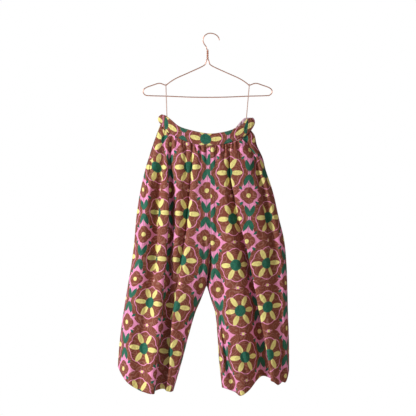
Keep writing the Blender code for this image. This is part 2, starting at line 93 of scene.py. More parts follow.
# Heights that the rows of a leg panel are spread between, and where left and right begin to part
HIP_Z = -540.0
CROTCH_Z = -855.0
VALLEY_TOP_Z = -690.0
PARTING_POWER = 1.5
# The last guides of a row, as parts of the way from the side seam to the centre seam or inseam
INNER_GUIDES = (0.95, 1.0)

# Small gathers under the waistband: their wave and depth, where they are full and how far they reach
# down, how much their depth and place wander, and how far they keep from the seams and the pocket
GATHER_WAVE = 24.0
GATHER_AT_SEAM = 1.2
GATHER_DEPTH = 3.6
GATHER_ONSET = 18.0
GATHER_REACH = 46.0
GATHER_UNEVEN, GATHER_UNEVEN_WAVE = 0.35, 31
GATHER_DRIFT, GATHER_DRIFT_WAVE = 1.3, 47
GATHER_CALM = 12.0
POCKET_CALM = 70.0

# Ruched elastic of the back waistband; fullness is its flat length over its length as it hangs
RUCHE_COUNT = 28
RUCHE_DEPTH = 1.8
RUCHE_SHARPNESS = 0.75
RUCHE_UNEVEN, RUCHE_UNEVEN_WAVE = 0.3, 9.0
RUCHE_DRIFT, RUCHE_DRIFT_WAVE = 0.22, 17.0
RUCHE_COLUMNS = 12
RUCHE_FULLNESS = 1.12
ELASTIC_ROWS = 3
ELASTIC_HOLD = 0.45
BACK_PRINT_SHIFT = -34.0

# Slanted side pockets of the front: where the opening leaves the waist seam, how far it runs down,
# how fast it closes there, and how far behind the panel's edge the facing lies
POCKET_TOPS = {-1: -136.0, 1: 105.0}
POCKET_END_Z = -452.0
POCKET_LEAST = 4.0
POCKET_END_WIDTH = 16.0
POCKET_TAPER = 0.55
POCKET_GAP = 0.9
POCKET_COLUMNS = 16
POCKET_LAP_COLUMNS = 6
FACING_PRINT_PLACE = (40, 30)

# Wire hanger
WIRE_RADIUS = 1.8
NECK_X = -9.2
HOOK_HEIGHT = 24.0
HOOK_REACH_LEFT = 25.0
HOOK_REACH_RIGHT = 30.5
HOOK_STEPS = 10
HOOK_TAIL = ((-21, -34), (-14.5, -43))
TWIST_TURNS = 2.5
TWIST_TOP_Z = -54.0
TWIST_BOTTOM_Z = -86.0
TWIST_CLEARANCE = 0.35
TWIST_STEPS = 24
HOOK_PITCH = 3
FRAME_PITCH = 5
DOME_SHARES = (0.0, 0.12, 0.4, 0.75, 1.0)
DOME_LEAST = 0.12

# Hanging loops: LOOPS gives where each hangs over the hanger's notch and where it meets the waistband
RIBBON_WIDTH = 3.2
RIBBON_WALL = 1.0
RIBBON_CLEARANCE = 0.4
NOTCH_CLEARANCE = 1.4
RIBBON_END_Z = -302.0
RIBBON_PITCH = 2.0
RIBBON_COLUMNS = 4
RIBBON_FOOT = 18
RIBBON_TURN_STEPS = 6
# Faces at a loop's front end that show which way it faces
FIRST_FACES = 8
BAR_DROP = 6
LOOPS = {"left": (-150.7, -147.0), "right": (132.3, 122.5)}

# Outline of the hanging pants by height: the two side seams, and half the depth from front to back
Section = namedtuple("Section", "z left right depth")
OUTLINE = tuple(
    Section(*row)
    for row in (
        (-296, -164, 134, 13), (-326, -176, 138, 17), (-345, -183, 150, 20), (-379, -195, 158, 26),
        (-420, -208, 177, 36), (-460, -220, 187, 44), (-540, -238, 213, 53), (-620, -250, 231, 58),
        (-700, -257, 250, 60), (-782, -267, 258, 62), (-864, -281, 261, 62), (-945, -294, 263, 63),
        (-1027, -305, 266, 65), (-1108, -312, 267, 67), (-1225, -315, 266, 69),
    )
)

# The two inseams by height, and the centre seam above them
Inner = namedtuple("Inner", "z left right")
INSEAM = tuple(
    Inner(*row)
    for row in (
        (-855, -14, -11), (-905, -34, 4), (-945, -51, 17), (-1027, -75, 25), (-1108, -96, 30),
        (-1225, -130, 43),
    )
)
SEAM_LOW_Z = -379.0
CENTRE_SEAM = ((SEAM_LOW_Z, 0), (-700, 1), (-790, -1), (-830, -7), (CROTCH_Z, -12))

# Edges of the waistband, left to right: the front's upper edge, the back's, and the seam below
TOP_EDGE = (
    (-164, -274), (-150, -278), (-131, -293), (-110, -311), (-88, -321), (-37, -334), (0, -339),
    (37, -335), (69, -327), (101, -312), (127, -288), (143, -285),
)
BACK_TOP_EDGE = (
    (-164, -274), (-150, -280), (-110, -315), (-60, -336), (0, -345), (50, -337), (84, -318), (104, -297),
    (118, -285), (143, -285),
)
TOP_EDGES = {-1: TOP_EDGE, 1: BACK_TOP_EDGE}
SEAM_EDGE = (
    (-168, -306), (-157, -322), (-142, -336), (-119, -347), (-88, -363), (-37, -377), (0, -379),
    (41, -376), (67, -369), (97, -357), (124, -342), (138, -326),
)
BAND_END_BULGE = {-1: 11.0, 1: 9.0}
BAND_END_POWER = 12
BAND_MEASURES = 400
TOP_DEPTH = 17.0
BAND_SEAM_LEFT = -150.0
BAND_SEAM_RIGHT = 127.5
BAND_ROWS = 14
FRONT_BAND_COLUMNS = 116

# One entry for each crest, edge or trough that runs down a panel, from the side seam inwards. Waist is
# the place and lift where the line leaves the waistband, hem_z is the height where it ends, and the rows
# are height, place and lift. A lift is measured off the panel's plain form.
Fold = namedtuple("Fold", "waist hem_z rows")
FRONT_LEFT = (
    # side crest
    Fold((-160, 0), -1177, ((-540, -212, 6), (-855, -250, 8), (-1205, -281, 8))),
    # side trough
    Fold((-149, -2), -1205, (
        (-430, -159, -11), (-540, -171, -21), (-633, -178, -27), (-720, -179, -29), (-790, -185, -23),
        (-855, -197, -16), (-960, -212, -9), (-1205, -238, -5),
    )),
    # strip edge
    Fold((-145.5, 0), -1210, (
        (-430, -155.5, 0), (-540, -166, 4), (-633, -174, 7), (-720, -176, 8), (-790, -181, 5),
        (-855, -188, 2), (-960, -199, 4), (-1205, -220, 8),
    )),
    # strip crest
    Fold((-139, 2), -1214, (
        (-430, -150, 5), (-540, -153, 12), (-640, -156, 15), (-720, -159, 15), (-790, -164, 15),
        (-855, -169, 15), (-960, -178, 16), (-1040, -185, 17), (-1120, -194, 18), (-1205, -203, 19),
    )),
    # flap edge
    Fold((-133.5, 1), -1215, (
        (-430, -144.5, 3), (-498, -142, 6), (-565, -140, 8), (-633, -141, 9), (-701, -145, 9),
        (-769, -148, 9), (-837, -155, 9), (-905, -160, 9), (-972, -164, 10), (-1040, -169, 11),
        (-1108, -179, 12), (-1170, -183.5, 13), (-1205, -187, 13),
    )),
    # flap under
    Fold((-131.5, -1), -1210, (
        (-430, -142.5, -7), (-498, -142, -11), (-565, -142, -12), (-633, -144, -12), (-701, -148, -12),
        (-769, -152, -12), (-837, -160, -13), (-905, -165, -15), (-972, -169, -17), (-1040, -174, -19),
        (-1108, -183, -21), (-1205, -190, -23),
    )),
    # strip trough
    Fold((-127, -2), -1203, (
        (-430, -137, -13), (-498, -135, -20), (-565, -133, -23), (-633, -133, -23), (-701, -138, -21),
        (-769, -141, -21), (-837, -145, -25), (-905, -147, -29), (-972, -151, -31), (-1040, -155, -33),
        (-1108, -162, -35), (-1205, -170, -35),
    )),
    # panel crest
    Fold((-104, 1), -1202, (
        (-430, -106, 3), (-540, -106, 4), (-640, -107, 3), (-720, -114, 1), (-790, -120, -6),
        (-855, -127, -16), (-940, -135, -25), (-1040, -143, -29), (-1120, -149, -31), (-1205, -158, -31),
    )),
    # pleat trough
    Fold((-66, -2), -1204, (
        (-430, -62, -6), (-504, -66, -9), (-582, -73, -9), (-667, -82, -9), (-769, -98, -10),
        (-855, -113, -14), (-945, -129, -23), (-1040, -137, -27), (-1120, -141, -27), (-1205, -152, -25),
    )),
    # pleat crest
    Fold((-57, 1), -1207, (
        (-430, -53, 4), (-504, -58, 5), (-582, -65, 5), (-667, -73, 5), (-769, -88, 5), (-855, -103, 5),
        (-945, -121, 4), (-1040, -131, 0), (-1120, -136, -2), (-1205, -147, -4),
    )),
    # centre flat
    Fold((-26, 0), -1209, (
        (-540, -28, 1), (-700, -36, 2), (-855, -56, 3), (-945, -84, 2), (-1040, -108, 0),
        (-1205, -140, -3),
    )),
)
FRONT_RIGHT = (
    # side crest
    Fold((128, 0), -1179, ((-540, 197, 3), (-855, 244, 6), (-1205, 252, 8))),
    # side trough
    Fold((121, -1), -1177, (
        (-430, 151, -9), (-518, 168, -12), (-606, 185, -13), (-701, 200, -12), (-800, 207, -8),
        (-855, 216, -5), (-1000, 231, -1), (-1190, 243, 3),
    )),
    # pocket edge
    Fold((115, 0), -1182, (
        (-430, 144, 1), (-518, 162, 3), (-606, 179, 4), (-701, 194, 3), (-800, 200, 2), (-855, 207, 2),
        (-1000, 222, 5), (-1190, 236, 7),
    )),
    # pocket crest
    Fold((107, 1), -1186, (
        (-430, 132, 4), (-518, 150, 7), (-606, 168, 8), (-701, 184, 9), (-800, 190, 9), (-855, 197, 9),
        (-1000, 211, 11), (-1190, 228, 12),
    )),
    # panel crest
    Fold((76, 2), -1176, (
        (-430, 78, 4), (-504, 87, 6), (-560, 99, 8), (-654, 118, 10), (-725, 137, 12), (-786, 149, 14),
        (-860, 163, 16), (-932, 177, 16), (-1000, 190, 16), (-1074, 201, 17), (-1135, 209, 17),
        (-1190, 215, 17),
    )),
    # flap edge
    Fold((69, 1), -1172, (
        (-430, 68, 3), (-504, 73, 4), (-560, 85, 5), (-600, 93, 6), (-654, 104, 7), (-725, 123, 9),
        (-786, 135, 10), (-860, 150, 11), (-932, 163.5, 12), (-1000, 177, 13), (-1074, 190.5, 14),
        (-1135, 200, 14), (-1190, 206, 14),
    )),
    # flap under
    Fold((67.3, -1), -1168, (
        (-430, 66.5, -4), (-504, 72, -5), (-560, 84, -6), (-600, 93, -7), (-654, 106, -10),
        (-725, 127, -14), (-786, 140, -16), (-860, 155, -18), (-932, 169, -20), (-1000, 182, -22),
        (-1074, 195, -24), (-1135, 204, -24), (-1190, 209, -24),
    )),
    # panel trough
    Fold((63, -2), -1159, (
        (-430, 63.5, -7), (-504, 68, -10), (-560, 78, -11), (-600, 86, -12), (-654, 98, -15),
        (-725, 117, -19), (-786, 129, -22), (-860, 143, -26), (-932, 155, -30), (-1000, 165, -34),
        (-1074, 174, -38), (-1135, 176, -39), (-1190, 174, -38),
    )),
    # mid crest
    Fold((44, 1), -1207, (
        (-540, 54, 4), (-700, 76, 7), (-855, 104, 9), (-1000, 116, 8), (-1205, 126, 6),
    )),
    # inner crest
    Fold((24, 0), -1221, (
        (-540, 28, 1), (-700, 38, 2), (-855, 54, 5), (-940, 52, 6), (-1006, 52, 8), (-1040, 58, 10),
        (-1118, 77, 13), (-1186, 96, 14), (-1217, 102, 14),
    )),
    # inner trough
    Fold((15, 0), -1211, (
        (-540, 17, -1), (-700, 24, -3), (-855, 38, -7), (-940, 38, -5), (-1006, 40, -5), (-1040, 46, -8),
        (-1118, 59, -14), (-1186, 78, -13), (-1217, 84, -12),
    )),
)
BACK_LEFT = (
    # side crest
    Fold((-160, 0), -1175, ((-540, -216, 6), (-855, -250, 7), (-1205, -284, 6))),
    # side trough
    Fold((-146, -4), -1193, ((-540, -190, -12), (-855, -214, -12), (-1205, -258, -14))),
    # outer crest
    Fold((-128, 3), -1208, ((-540, -156, 9), (-855, -176, 14), (-1205, -226, 16))),
    # outer trough
    Fold((-104, -3), -1201, ((-540, -122, -10), (-855, -146, -14), (-1205, -203, -20))),
    # mid crest
    Fold((-78, 3), -1209, ((-540, -88, 7), (-855, -114, 10), (-1205, -182, 6))),
    # mid trough
    Fold((-50, -3), -1205, ((-540, -56, -6), (-855, -84, -8), (-1205, -165, -12))),
    # inner crest
    Fold((-24, 1), -1209, ((-540, -26, 2), (-855, -50, 3), (-1205, -150, 0))),
)
BACK_RIGHT = (
    # side crest
    Fold((130, 0), -1175, ((-540, 196, 5), (-855, 240, 6), (-1205, 250, 6))),
    # side trough
    Fold((122, -3), -1179, ((-540, 170, -11), (-855, 212, -10), (-1205, 222, -12))),
    # outer crest
    Fold((106, 3), -1163, ((-540, 142, 9), (-855, 180, 13), (-1205, 192, 16))),
    # outer trough
    Fold((84, -3), -1159, ((-540, 110, -9), (-855, 146, -13), (-1205, 160, -22))),
    # mid crest
    Fold((60, 3), -1209, ((-540, 78, 7), (-855, 108, 10), (-1205, 124, 14))),
    # mid trough
    Fold((38, -3), -1201, ((-540, 48, -6), (-855, 70, -9), (-1205, 92, -16))),
    # inner crest
    Fold((18, 1), -1207, ((-540, 24, 2), (-855, 36, 4), (-1205, 66, 4))),
)
Panel = namedtuple("Panel", "folds side face side_hem_z inner_hem_z gather_phase")
PANELS = {
    "front_left": Panel(FRONT_LEFT, -1, -1, -1128, -1210, 0.4),
    "front_right": Panel(FRONT_RIGHT, 1, -1, -1140, -1199, 2.1),
    "back_left": Panel(BACK_LEFT, -1, 1, -1128, -1210, 1.2),
    "back_right": Panel(BACK_RIGHT, 1, 1, -1140, -1199, 3.0),
}
# Distance between columns, by face: the front's creases are the sharper ones
COLUMN_PITCH = {-1: 1.75, 1: 2.3}
UPPER_ROWS = 38
MIDDLE_ROWS = 56
LOWER_ROWS = 64

# Half of the hanger's frame, from the neck outwards: distance from the neck's axis, and height
FRAME_HALF = (
    (5, -94), (7.5, -103), (15, -109), (62, -131), (112, -154), (136, -170.5), (139.6, -174.2),
    (143.6, -174.4), (148, -172.5), (163, -168), (188, -175), (209, -183), (217.5, -190), (218.5, -199),
    (211, -208), (195, -210), (140, -211.5), (70, -214.5),
)
FRAME_CENTRE_Z = -215.5
NOTCH = 6

# Sharp creases laid over the folds: how far each stands out and leans over its neighbour, how wide it
# is to its left and right, and the heights and places that it runs through
Crease = namedtuple("Crease", "lift lean left right path")
CREASES = {
    "front_left": (
        # small folds at the side
        Crease(-5.5, 0, 4, 6, (
            (-355, -186), (-403, -196), (-447, -202), (-491, -210), (-532, -216), (-576, -227),
            (-616, -237), (-660, -240), (-701, -247), (-755, -255),
        )),
        Crease(3.2, 3, 7, 4, (
            (-355, -195), (-403, -205), (-447, -211), (-491, -219), (-532, -225), (-576, -236),
            (-616, -246), (-660, -249), (-701, -256), (-755, -264),
        )),
        # the long pleat from the waistband
        Crease(-5, -1, 3, 3, (
            (-352, -60), (-396, -61), (-420, -62), (-440, -60), (-470, -65), (-504, -67), (-542, -71),
            (-582, -74), (-627, -79), (-667, -82), (-711, -89), (-769, -98), (-820, -103), (-854, -111),
            (-894, -117), (-945, -128),
        )),
        # pleats under the waistband
        Crease(-4.6, 0, 4.5, 4.5, (
            (-352, -81), (-386, -79), (-406, -83), (-430, -85), (-464, -82), (-504, -86),
        )),
        Crease(-3.6, 0, 3, 3, ((-359, -49), (-392, -48), (-423, -45))),
        Crease(-3.2, 0, 3, 3, ((-359, -32), (-403, -31), (-447, -33))),
        Crease(-3.0, 0, 2.6, 3, ((-345, -98), (-379, -106), (-399, -118), (-416, -130))),
        Crease(-2.6, 0, 2.6, 3, ((-359, -15), (-396, -13), (-437, -16))),
        # the hollow along the centre seam and inseam
        Crease(-4, 0, 6, 9, (
            (-660, -17), (-735, -20), (-803, -27), (-854, -36), (-891, -48), (-939, -63), (-1006, -83),
        )),
        # swells low at the side
        Crease(2.6, 0, 7, 10, ((-972, -261), (-1091, -271), (-1230, -267))),
        Crease(-3, 0, 8, 8, ((-905, -216), (-1006, -227), (-1108, -223), (-1190, -216))),
        # beside the pocket's edge
        Crease(-4.5, -2, 4, 3, ((-344, -124), (-375, -129), (-409, -134), (-428, -137))),
    ),
    "front_right": (
        # pleats under the waistband
        Crease(-4, 1, 3, 3, (
            (-352, 62), (-403, 62), (-447, 64), (-491, 66), (-518, 71), (-559, 79), (-599, 88),
        )),
        Crease(-3.4, 0, 3, 3, ((-348, 77), (-382, 78), (-416, 80))),
        Crease(-3.0, 0, 3, 3, ((-355, 47), (-396, 48), (-447, 45))),
        Crease(-2.6, 0, 3, 3, ((-359, 21), (-399, 22), (-440, 21))),
        Crease(-2.8, 0, 3, 3, ((-348, 94), (-396, 99), (-450, 104))),
        # small folds at the side
        Crease(-3.6, 0, 4, 5, (
            (-396, 170), (-447, 182), (-498, 192), (-538, 204), (-582, 214), (-640, 223),
        )),
        Crease(-3, 0, 7, 6, (
            (-735, 225), (-820, 235), (-905, 238), (-1006, 242), (-1115, 238), (-1210, 235),
        )),
        # folds at the inseam
        Crease(-5, 0, 3.2, 3.2, ((-810, 44), (-861, 42), (-891, 51), (-915, 55), (-942, 66), (-986, 75))),
        # the hollow along the centre seam and inseam
        Crease(-4, 0, 9, 6, ((-660, 14), (-735, 16), (-803, 16), (-854, 14), (-905, 23), (-989, 36))),
        Crease(-3.5, 0, 6, 6, ((-1057, 102), (-1108, 113), (-1159, 123), (-1230, 130))),
    ),
    "back_left": (
        Crease(-8.0, -3, 6, 5, (
            (-310, -116), (-520, -128), (-660, -138), (-800, -148), (-930, -166), (-1060, -186),
            (-1222, -204),
        )),
        Crease(5.4, 7, 6, 9, (
            (-360, -130), (-560, -156), (-700, -166), (-860, -178), (-1010, -202), (-1222, -228),
        )),
        Crease(-5.5, 0, 4, 5, ((-310, -52), (-520, -56), (-640, -64), (-760, -78), (-900, -94))),
        Crease(3.4, 0, 8, 5, ((-480, -206), (-640, -226), (-780, -242), (-930, -258))),
        Crease(-4.6, 0, 5, 6, ((-800, -20), (-930, -66), (-1040, -98))),
        Crease(-4.0, 0, 3.5, 4, ((-310, -84), (-400, -88), (-500, -94))),
        Crease(-3.4, 0, 3.5, 4, ((-310, -30), (-400, -31), (-480, -34))),
    ),
    "back_right": (
        Crease(5.6, -7, 9, 6, (
            (-350, 108), (-540, 142), (-680, 162), (-840, 180), (-980, 186), (-1222, 194),
        )),
        Crease(-8.0, 3, 5, 6, (
            (-350, 84), (-540, 108), (-680, 128), (-840, 146), (-980, 152), (-1222, 162),
        )),
        Crease(-5.5, 0, 5, 4, ((-310, 40), (-500, 46), (-620, 56), (-740, 66), (-860, 76))),
        Crease(3.2, 0, 6, 8, ((-500, 194), (-640, 214), (-780, 230), (-920, 242))),
        Crease(4.4, 0, 6, 6, ((-830, 26), (-950, 44), (-1060, 58), (-1222, 68))),
        Crease(-4.0, 0, 3.5, 4, ((-310, 62), (-400, 66), (-490, 74))),
        Crease(-3.2, 0, 3.5, 4, ((-310, 22), (-400, 24), (-470, 26))),
    ),
}
# How far from its ends a crease reaches its full height, how many of its widths it is followed for, and
# how much wider than its lift its lean is
CREASE_FADE = 38.0
CREASE_REACH = 4
LEAN_SPREAD = 1.4
# How deep the centre seam is drawn in above the crotch, by height, and the width of that hollow
SEAM_HOLLOW = ((-640, 0), (-720, 6), (-790, 9), (-835, 3), (-855, 0))
SEAM_HOLLOW_WIDTH = 8.0
# The seam allowance of a leg panel: how far in behind the waistband it turns, and how high it stands
ALLOWANCE_IN = 2.7
ALLOWANCE_RISE = 4.0
# Distances over which creases and swells grow, from the seams and from the waistband
EDGE_EASE = 14.0
CREASE_ONSET = 10
SWELL_START, SWELL_ONSET = 0.3, 40

# Uneven cloth: (lift, width of a swell, height of a swell)
SWELLS = ((2.6, 48.0, 170.0), (1.5, 21.0, 70.0), (0.7, 11.0, 20.0))

# Fine gathers between the large ones: lift, wave, how far they reach down, and phase; then how they
# begin at the seam and how much they wander
FINE_GATHERS = ((2.2, 13.0, 26.0, 0.9), (1.1, 7.6, 12.0, 2.7))
FINE_START, FINE_ONSET = 0.35, 9
FINE_DRIFT, FINE_DRIFT_WAVE = 2.1, 19

# How far the turned-up hem stands out, and how many hem depths up that has died out
HEM_FOLD = 0.5
HEM_FOLD_REACH = 1.5
# The straight grain that each panel's print runs along, as heights and places, and how far the print
# is shifted from it
GRAIN_LINES = {
    "front_left": ((
        (-300, -104), (-540, -104), (-700, -112), (-855, -124), (-1027, -150), (-1225, -180),
    ), 34),
    "front_right": (((-300, 46), (-540, 46), (-700, 52), (-855, 62), (-1027, 84), (-1225, 104)), -30),
    "back_left": ((
        (-300, -100), (-540, -100), (-700, -106), (-855, -118), (-1027, -150), (-1225, -182),
    ), 30),
    "back_right": (((-300, 50), (-540, 52), (-700, 58), (-855, 66), (-1027, 84), (-1225, 104)), -26),
}
PRINT_START = 96.0
GRAIN_ROWS = 6

# Sewing, on the cloth: the stitches, the bar tacks and where along a pocket's edge they are, and the
# distances from an edge that seams are sewn along
STITCH_PITCH = 3.1
STITCH_RISE = 0.12
STITCH_STEP = 2
TACK_STITCHES = 12
TACK_WIDTH = 3.2
TACK_PITCH = 0.8
TACK_PLACES = (-3, 4)
POCKET_STITCH = 6.0
POCKET_STITCH_STOP = 128.0
BAND_EDGE_STITCHES = (2.2, 35.5)
ELASTIC_STITCHES = (2.5, 13.5, 25.0, 35.0)

# Stage: where the camera looks, (x, z) in metres, and the lights with place, size, role and colour
CAMERA_SENSOR = 36.0
CAMERA_REACH = 100
VIEW_CENTRE = (-0.0078, -0.5909)
FLOOR_RADIUS = 2.0
FLOOR_SIDES = 96
SKY_COLOUR = (1.0, 0.86, 0.76, 1.0)
LIGHT_AIM = (0, 0, -0.75)
LIGHTS = (
    ("key light", (-3.25, -2.0, 0.6), 0.9, "key", (1.0, 1.0, 1.0)),
    ("fill light", (2.4, -2.6, -0.4), 2.2, "fill", (1.0, 0.84, 0.72)),
    ("back light", (0.6, 2.8, 0.4), 1.8, "fill", (1.0, 0.95, 0.9)),
)


# ---------------------------------------------------------------- sizes and colours that a user changes


def length_property(name, description, default):
    return bpy.props.FloatProperty(
        name=name, description=description, default=default, min=0, unit="LENGTH"
    )


def power_property(name, description, default):
    return bpy.props.FloatProperty(
        name=name, description=description, default=default, min=0, unit="POWER"
    )


def colour_property(name, description, default):
    return bpy.props.FloatVectorProperty(
        name=name, description=description, default=default, size=3, min=0, max=1, subtype="COLOR"
    )


class PantsCloth(bpy.types.PropertyGroup):
    """Sizes of the cloth and of its sewing."""

    wall: length_property("Cloth thickness", "Thickness of one layer of the cloth", 0.0012)
    band_wall: length_property("Waistband thickness", "Thickness of the folded waistband", 0.0024)
    repeat: length_property("Print repeat", "Distance from one large flower to the next", 0.156)
    hem: length_property("Hem depth", "Height of the turned-up hem", 0.021)
    stitch: length_property("Stitch length", "Length of one stitch", 0.0023)
    thread: length_property("Thread thickness", "Thickness of the sewing thread", 0.0007)


class PantsColours(bpy.types.PropertyGroup):
    """Colours of the print, its reverse, the tape and the wire."""

    ground: colour_property("Ground", "Pink ground of the print", (0.86, 0.31, 0.56))
    flower: colour_property("Flower", "Brown of the large flowers", (0.215, 0.053, 0.030))
    petal: colour_property("Petal", "Yellow of the petals", (0.83, 0.76, 0.27))
    leaf: colour_property("Leaf", "Green of the leaves and flower centres", (0.007, 0.145, 0.090))
    reverse: colour_property("Reverse", "Pale side of the cloth", (0.66, 0.48, 0.58))
    thread: colour_property("Thread", "Sewing thread", (0.40, 0.14, 0.15))
    tape: colour_property("Tape", "Hanging loops", (0.62, 0.42, 0.36))
    copper: colour_property("Copper", "Wire of the hanger", (0.86, 0.50, 0.38))


class PantsHanger(bpy.types.PropertyGroup):
    """Sizes of the hanger's wire and of the loops' ribbon."""

    wire: length_property("Wire thickness", "Diameter of the hanger's wire", 2 * WIRE_RADIUS * MM)
    ribbon: length_property("Ribbon width", "Width of the hanging loops", RIBBON_WIDTH * MM)


class PantsStage(bpy.types.PropertyGroup):
    """Camera, lights and floor."""

    distance: length_property("Camera distance", "Distance of the camera from the pants", 7.0)
    view: length_property("View width", "Width that the camera sees at the pants", 1.411)
    floor: length_property("Floor drop", "How far the floor lies below the hook", 1.75)
    key: power_property("Key light", "Power of the large light", 190)
    fill: power_property("Fill light", "Power of the soft light", 22)
    sky: bpy.props.FloatProperty(
        name="Surrounding light", description="Strength of the light from all round", default=0.20, min=0
    )


# ---------------------------------------------------------------- numbers


def blend(a, b, t):
    return a + (b - a) * t


def clamped(t):
    return min(1.0, max(0.0, t))


def smooth_step(t):
    return t * t * (3 - 2 * t)


def curve_through(points, x):
    """Smooth curve through (x, y) points in any order, held level past both ends."""
    rows = sorted(points)
    if x <= rows[0][0]:
        return rows[0][1]
    if x >= rows[-1][0]:
        return rows[-1][1]
    i = max(k for k in range(len(rows) - 1) if rows[k][0] <= x)

    def slope(k):
        low, high = max(k - 1, 0), min(k + 1, len(rows) - 1)
        return (rows[high][1] - rows[low][1]) / (rows[high][0] - rows[low][0])

    (x0, y0), (x1, y1) = rows[i], rows[i + 1]
    span = x1 - x0
    t = (x - x0) / span
    start = (2 * t**3 - 3 * t**2 + 1) * y0 + (t**3 - 2 * t**2 + t) * span * slope(i)
    end = (3 * t**2 - 2 * t**3) * y1 + (t**3 - t**2) * span * slope(i + 1)
    return start + end


def spline_point(a, b, c, d, t):
    """Point on the centripetal Catmull-Rom curve from b to c."""
    knots = [0.0]
    for p, q in ((a, b), (b, c), (c, d)):
        knots.append(knots[-1] + max((q - p).length, 1e-6) ** 0.5)
    u = blend(knots[1], knots[2], t)

    def between(p, q, i, j):
        return p.lerp(q, (u - knots[i]) / (knots[j] - knots[i]))

    ab, bc, cd = between(a, b, 0, 1), between(b, c, 1, 2), between(c, d, 2, 3)
    return between(between(ab, bc, 0, 2), between(bc, cd, 1, 3), 1, 2)


def lengths_along(row):
    lengths = [0.0]
    for a, b in zip(row, row[1:]):
        lengths.append(lengths[-1] + (b - a).length)
    return lengths


def step_at(lengths, wanted):
    """The step of a row of points that holds a length along it."""
    return min(max(bisect(lengths, wanted) - 1, 0), len(lengths) - 2)


def span_at(line, k, reach=1):
    """The way from the point before one in a line to the point after it, or from further off."""
    return line[min(k + reach, len(line) - 1)] - line[max(k - reach, 0)]


def point_along(row, lengths, wanted):
    """The point at a length along a row of points."""
    i = step_at(lengths, wanted)
    return row[i].lerp(row[i + 1], (wanted - lengths[i]) / (lengths[i + 1] - lengths[i]))


def outline_at(z, column):
    return curve_through([(row.z, getattr(row, column)) for row in OUTLINE], z)


def side_x(z, side):
    return outline_at(z, "left" if side < 0 else "right")


def centre_x(z):
    return curve_through(CENTRE_SEAM, z)


def inner_x(z, side):
    """Centre seam above the crotch, inseam below it."""
    if z >= CROTCH_Z:
        return centre_x(z)
    return curve_through([(row.z, row.left if side < 0 else row.right) for row in INSEAM], z)


def seam_closeness(z):
    """1 where left and right lie in one surface, 0 where the legs have parted."""
    if z >= VALLEY_TOP_Z:
        return 1.0
    if z <= CROTCH_Z:
        return 0.0
    return 1.0 - ((VALLEY_TOP_Z - z) / (VALLEY_TOP_Z - CROTCH_Z)) ** PARTING_POWER


def plain_depth(fraction, z):
    """Distance of the plain form from the middle plane, at a fraction of the way in from the side seam."""
    lowered = clamped((z - SEAM_LOW_Z) / (HIP_Z - SEAM_LOW_Z))
    squareness = blend(WAIST_SQUARENESS, LEG_SQUARENESS, lowered)
    at_side = (1 - (1 - fraction) ** squareness) ** (1 / squareness)
    at_inner = (1 - fraction**INSEAM_SQUARENESS) ** (1 / INSEAM_SQUARENESS)
    parted = 1 - seam_closeness(z)
    return outline_at(z, "depth") * at_side * (1 - parted * (1 - at_inner))


# ---------------------------------------------------------------- leg panels


def fraction_at(x, z, side):
    """How far x lies from the side seam (0) to the centre seam or inseam (1)."""
    outer = side_x(z, side)
    return (x - outer) / (inner_x(z, side) - outer)


def fold_lines(panel):
    """Each line as rows of (height, fraction, lift) from the waist down, with the height of its end."""
    lines = []
    for fold in panel.folds:
        waist_x, waist_lift = fold.waist
        rows = ((curve_through(SEAM_EDGE, waist_x), waist_x, waist_lift), *fold.rows)
        lines.append(([(z, fraction_at(x, z, panel.side), lift) for z, x, lift in rows], fold.hem_z))
    return lines


def height_at(waist_z, hem_z, level):
    """Height at level 0 (waist), 1 (hip), 2 (crotch) or 3 (hem), and between them."""
    stops = (waist_z, HIP_Z, CROTCH_Z, hem_z)
    i = min(int(level), 2)
    return blend(stops[i], stops[i + 1], level - i)


def panel_guides(panel, level):
    """The points that one row of the panel runs through, from the side seam inwards."""
    side, face = panel.side, panel.face
    side_waist = SEAM_EDGE[0 if side < 0 else -1]
    z = height_at(side_waist[1], panel.side_hem_z, level)
    guides = [Vector((side_x(z, side), face * SEAM_GAP / 2, z))]
    for rows, hem_z in fold_lines(panel):
        z = height_at(rows[0][0], hem_z, level)
        fraction = curve_through([(row[0], row[1]) for row in rows], z)
        lift = curve_through([(row[0], row[2]) for row in rows], z)
        x = blend(side_x(z, side), inner_x(z, side), fraction)
        guides.append(Vector((x, face * (plain_depth(fraction, z) + lift), z)))
    z = height_at(curve_through(SEAM_EDGE, 0), panel.inner_hem_z, level)
    for fraction in INNER_GUIDES:
        depth = max(plain_depth(fraction, z), SEAM_GAP / 2)
        x = blend(side_x(z, side), inner_x(z, side), fraction)
        guides.append(Vector((x, face * depth, z)))
    return guides


def with_ends(guides, z):
    """Adds a point past each end, mirrored so that the row meets its neighbour smoothly."""
    first, last, before = guides[1], guides[-1], guides[-2]
    start = Vector((first.x, -first.y, first.z))
    across_centre = Vector((2 * last.x - before.x, before.y, before.z))
    across_leg = Vector((before.x, -before.y, before.z))
    end = across_leg.lerp(across_centre, seam_closeness(z))
    return [start, *guides, end]


def column_stations(panel):
    """Where the columns stand, as (guide interval, part of it), closer where the cloth is folded."""
    rows = [panel_guides(panel, level) for level in (0, 1, 2, 3)]
    stations = []
    for i in range(len(rows[0]) - 1):
        length = sum((row[i + 1] - row[i]).length for row in rows) / len(rows)
        count = max(2, round(length / COLUMN_PITCH[panel.face]))
        stations += [(i, k / count) for k in range(count)]
    return stations + [(len(rows[0]) - 2, 1.0)]


def gather(arc, drop, phase):
    """Lift of the small uneven gathers, at a distance along the seam and below it."""
    depth = blend(GATHER_AT_SEAM, GATHER_DEPTH, min(1.0, drop / GATHER_ONSET))
    depth *= math.exp(-((drop / GATHER_REACH) ** 2) / 2)
    uneven = 1 + GATHER_UNEVEN * math.sin(arc / GATHER_UNEVEN_WAVE + phase)
    drift = GATHER_DRIFT * math.sin(arc / GATHER_DRIFT_WAVE + phase)
    return depth * uneven * math.cos(math.tau * arc / GATHER_WAVE + drift)


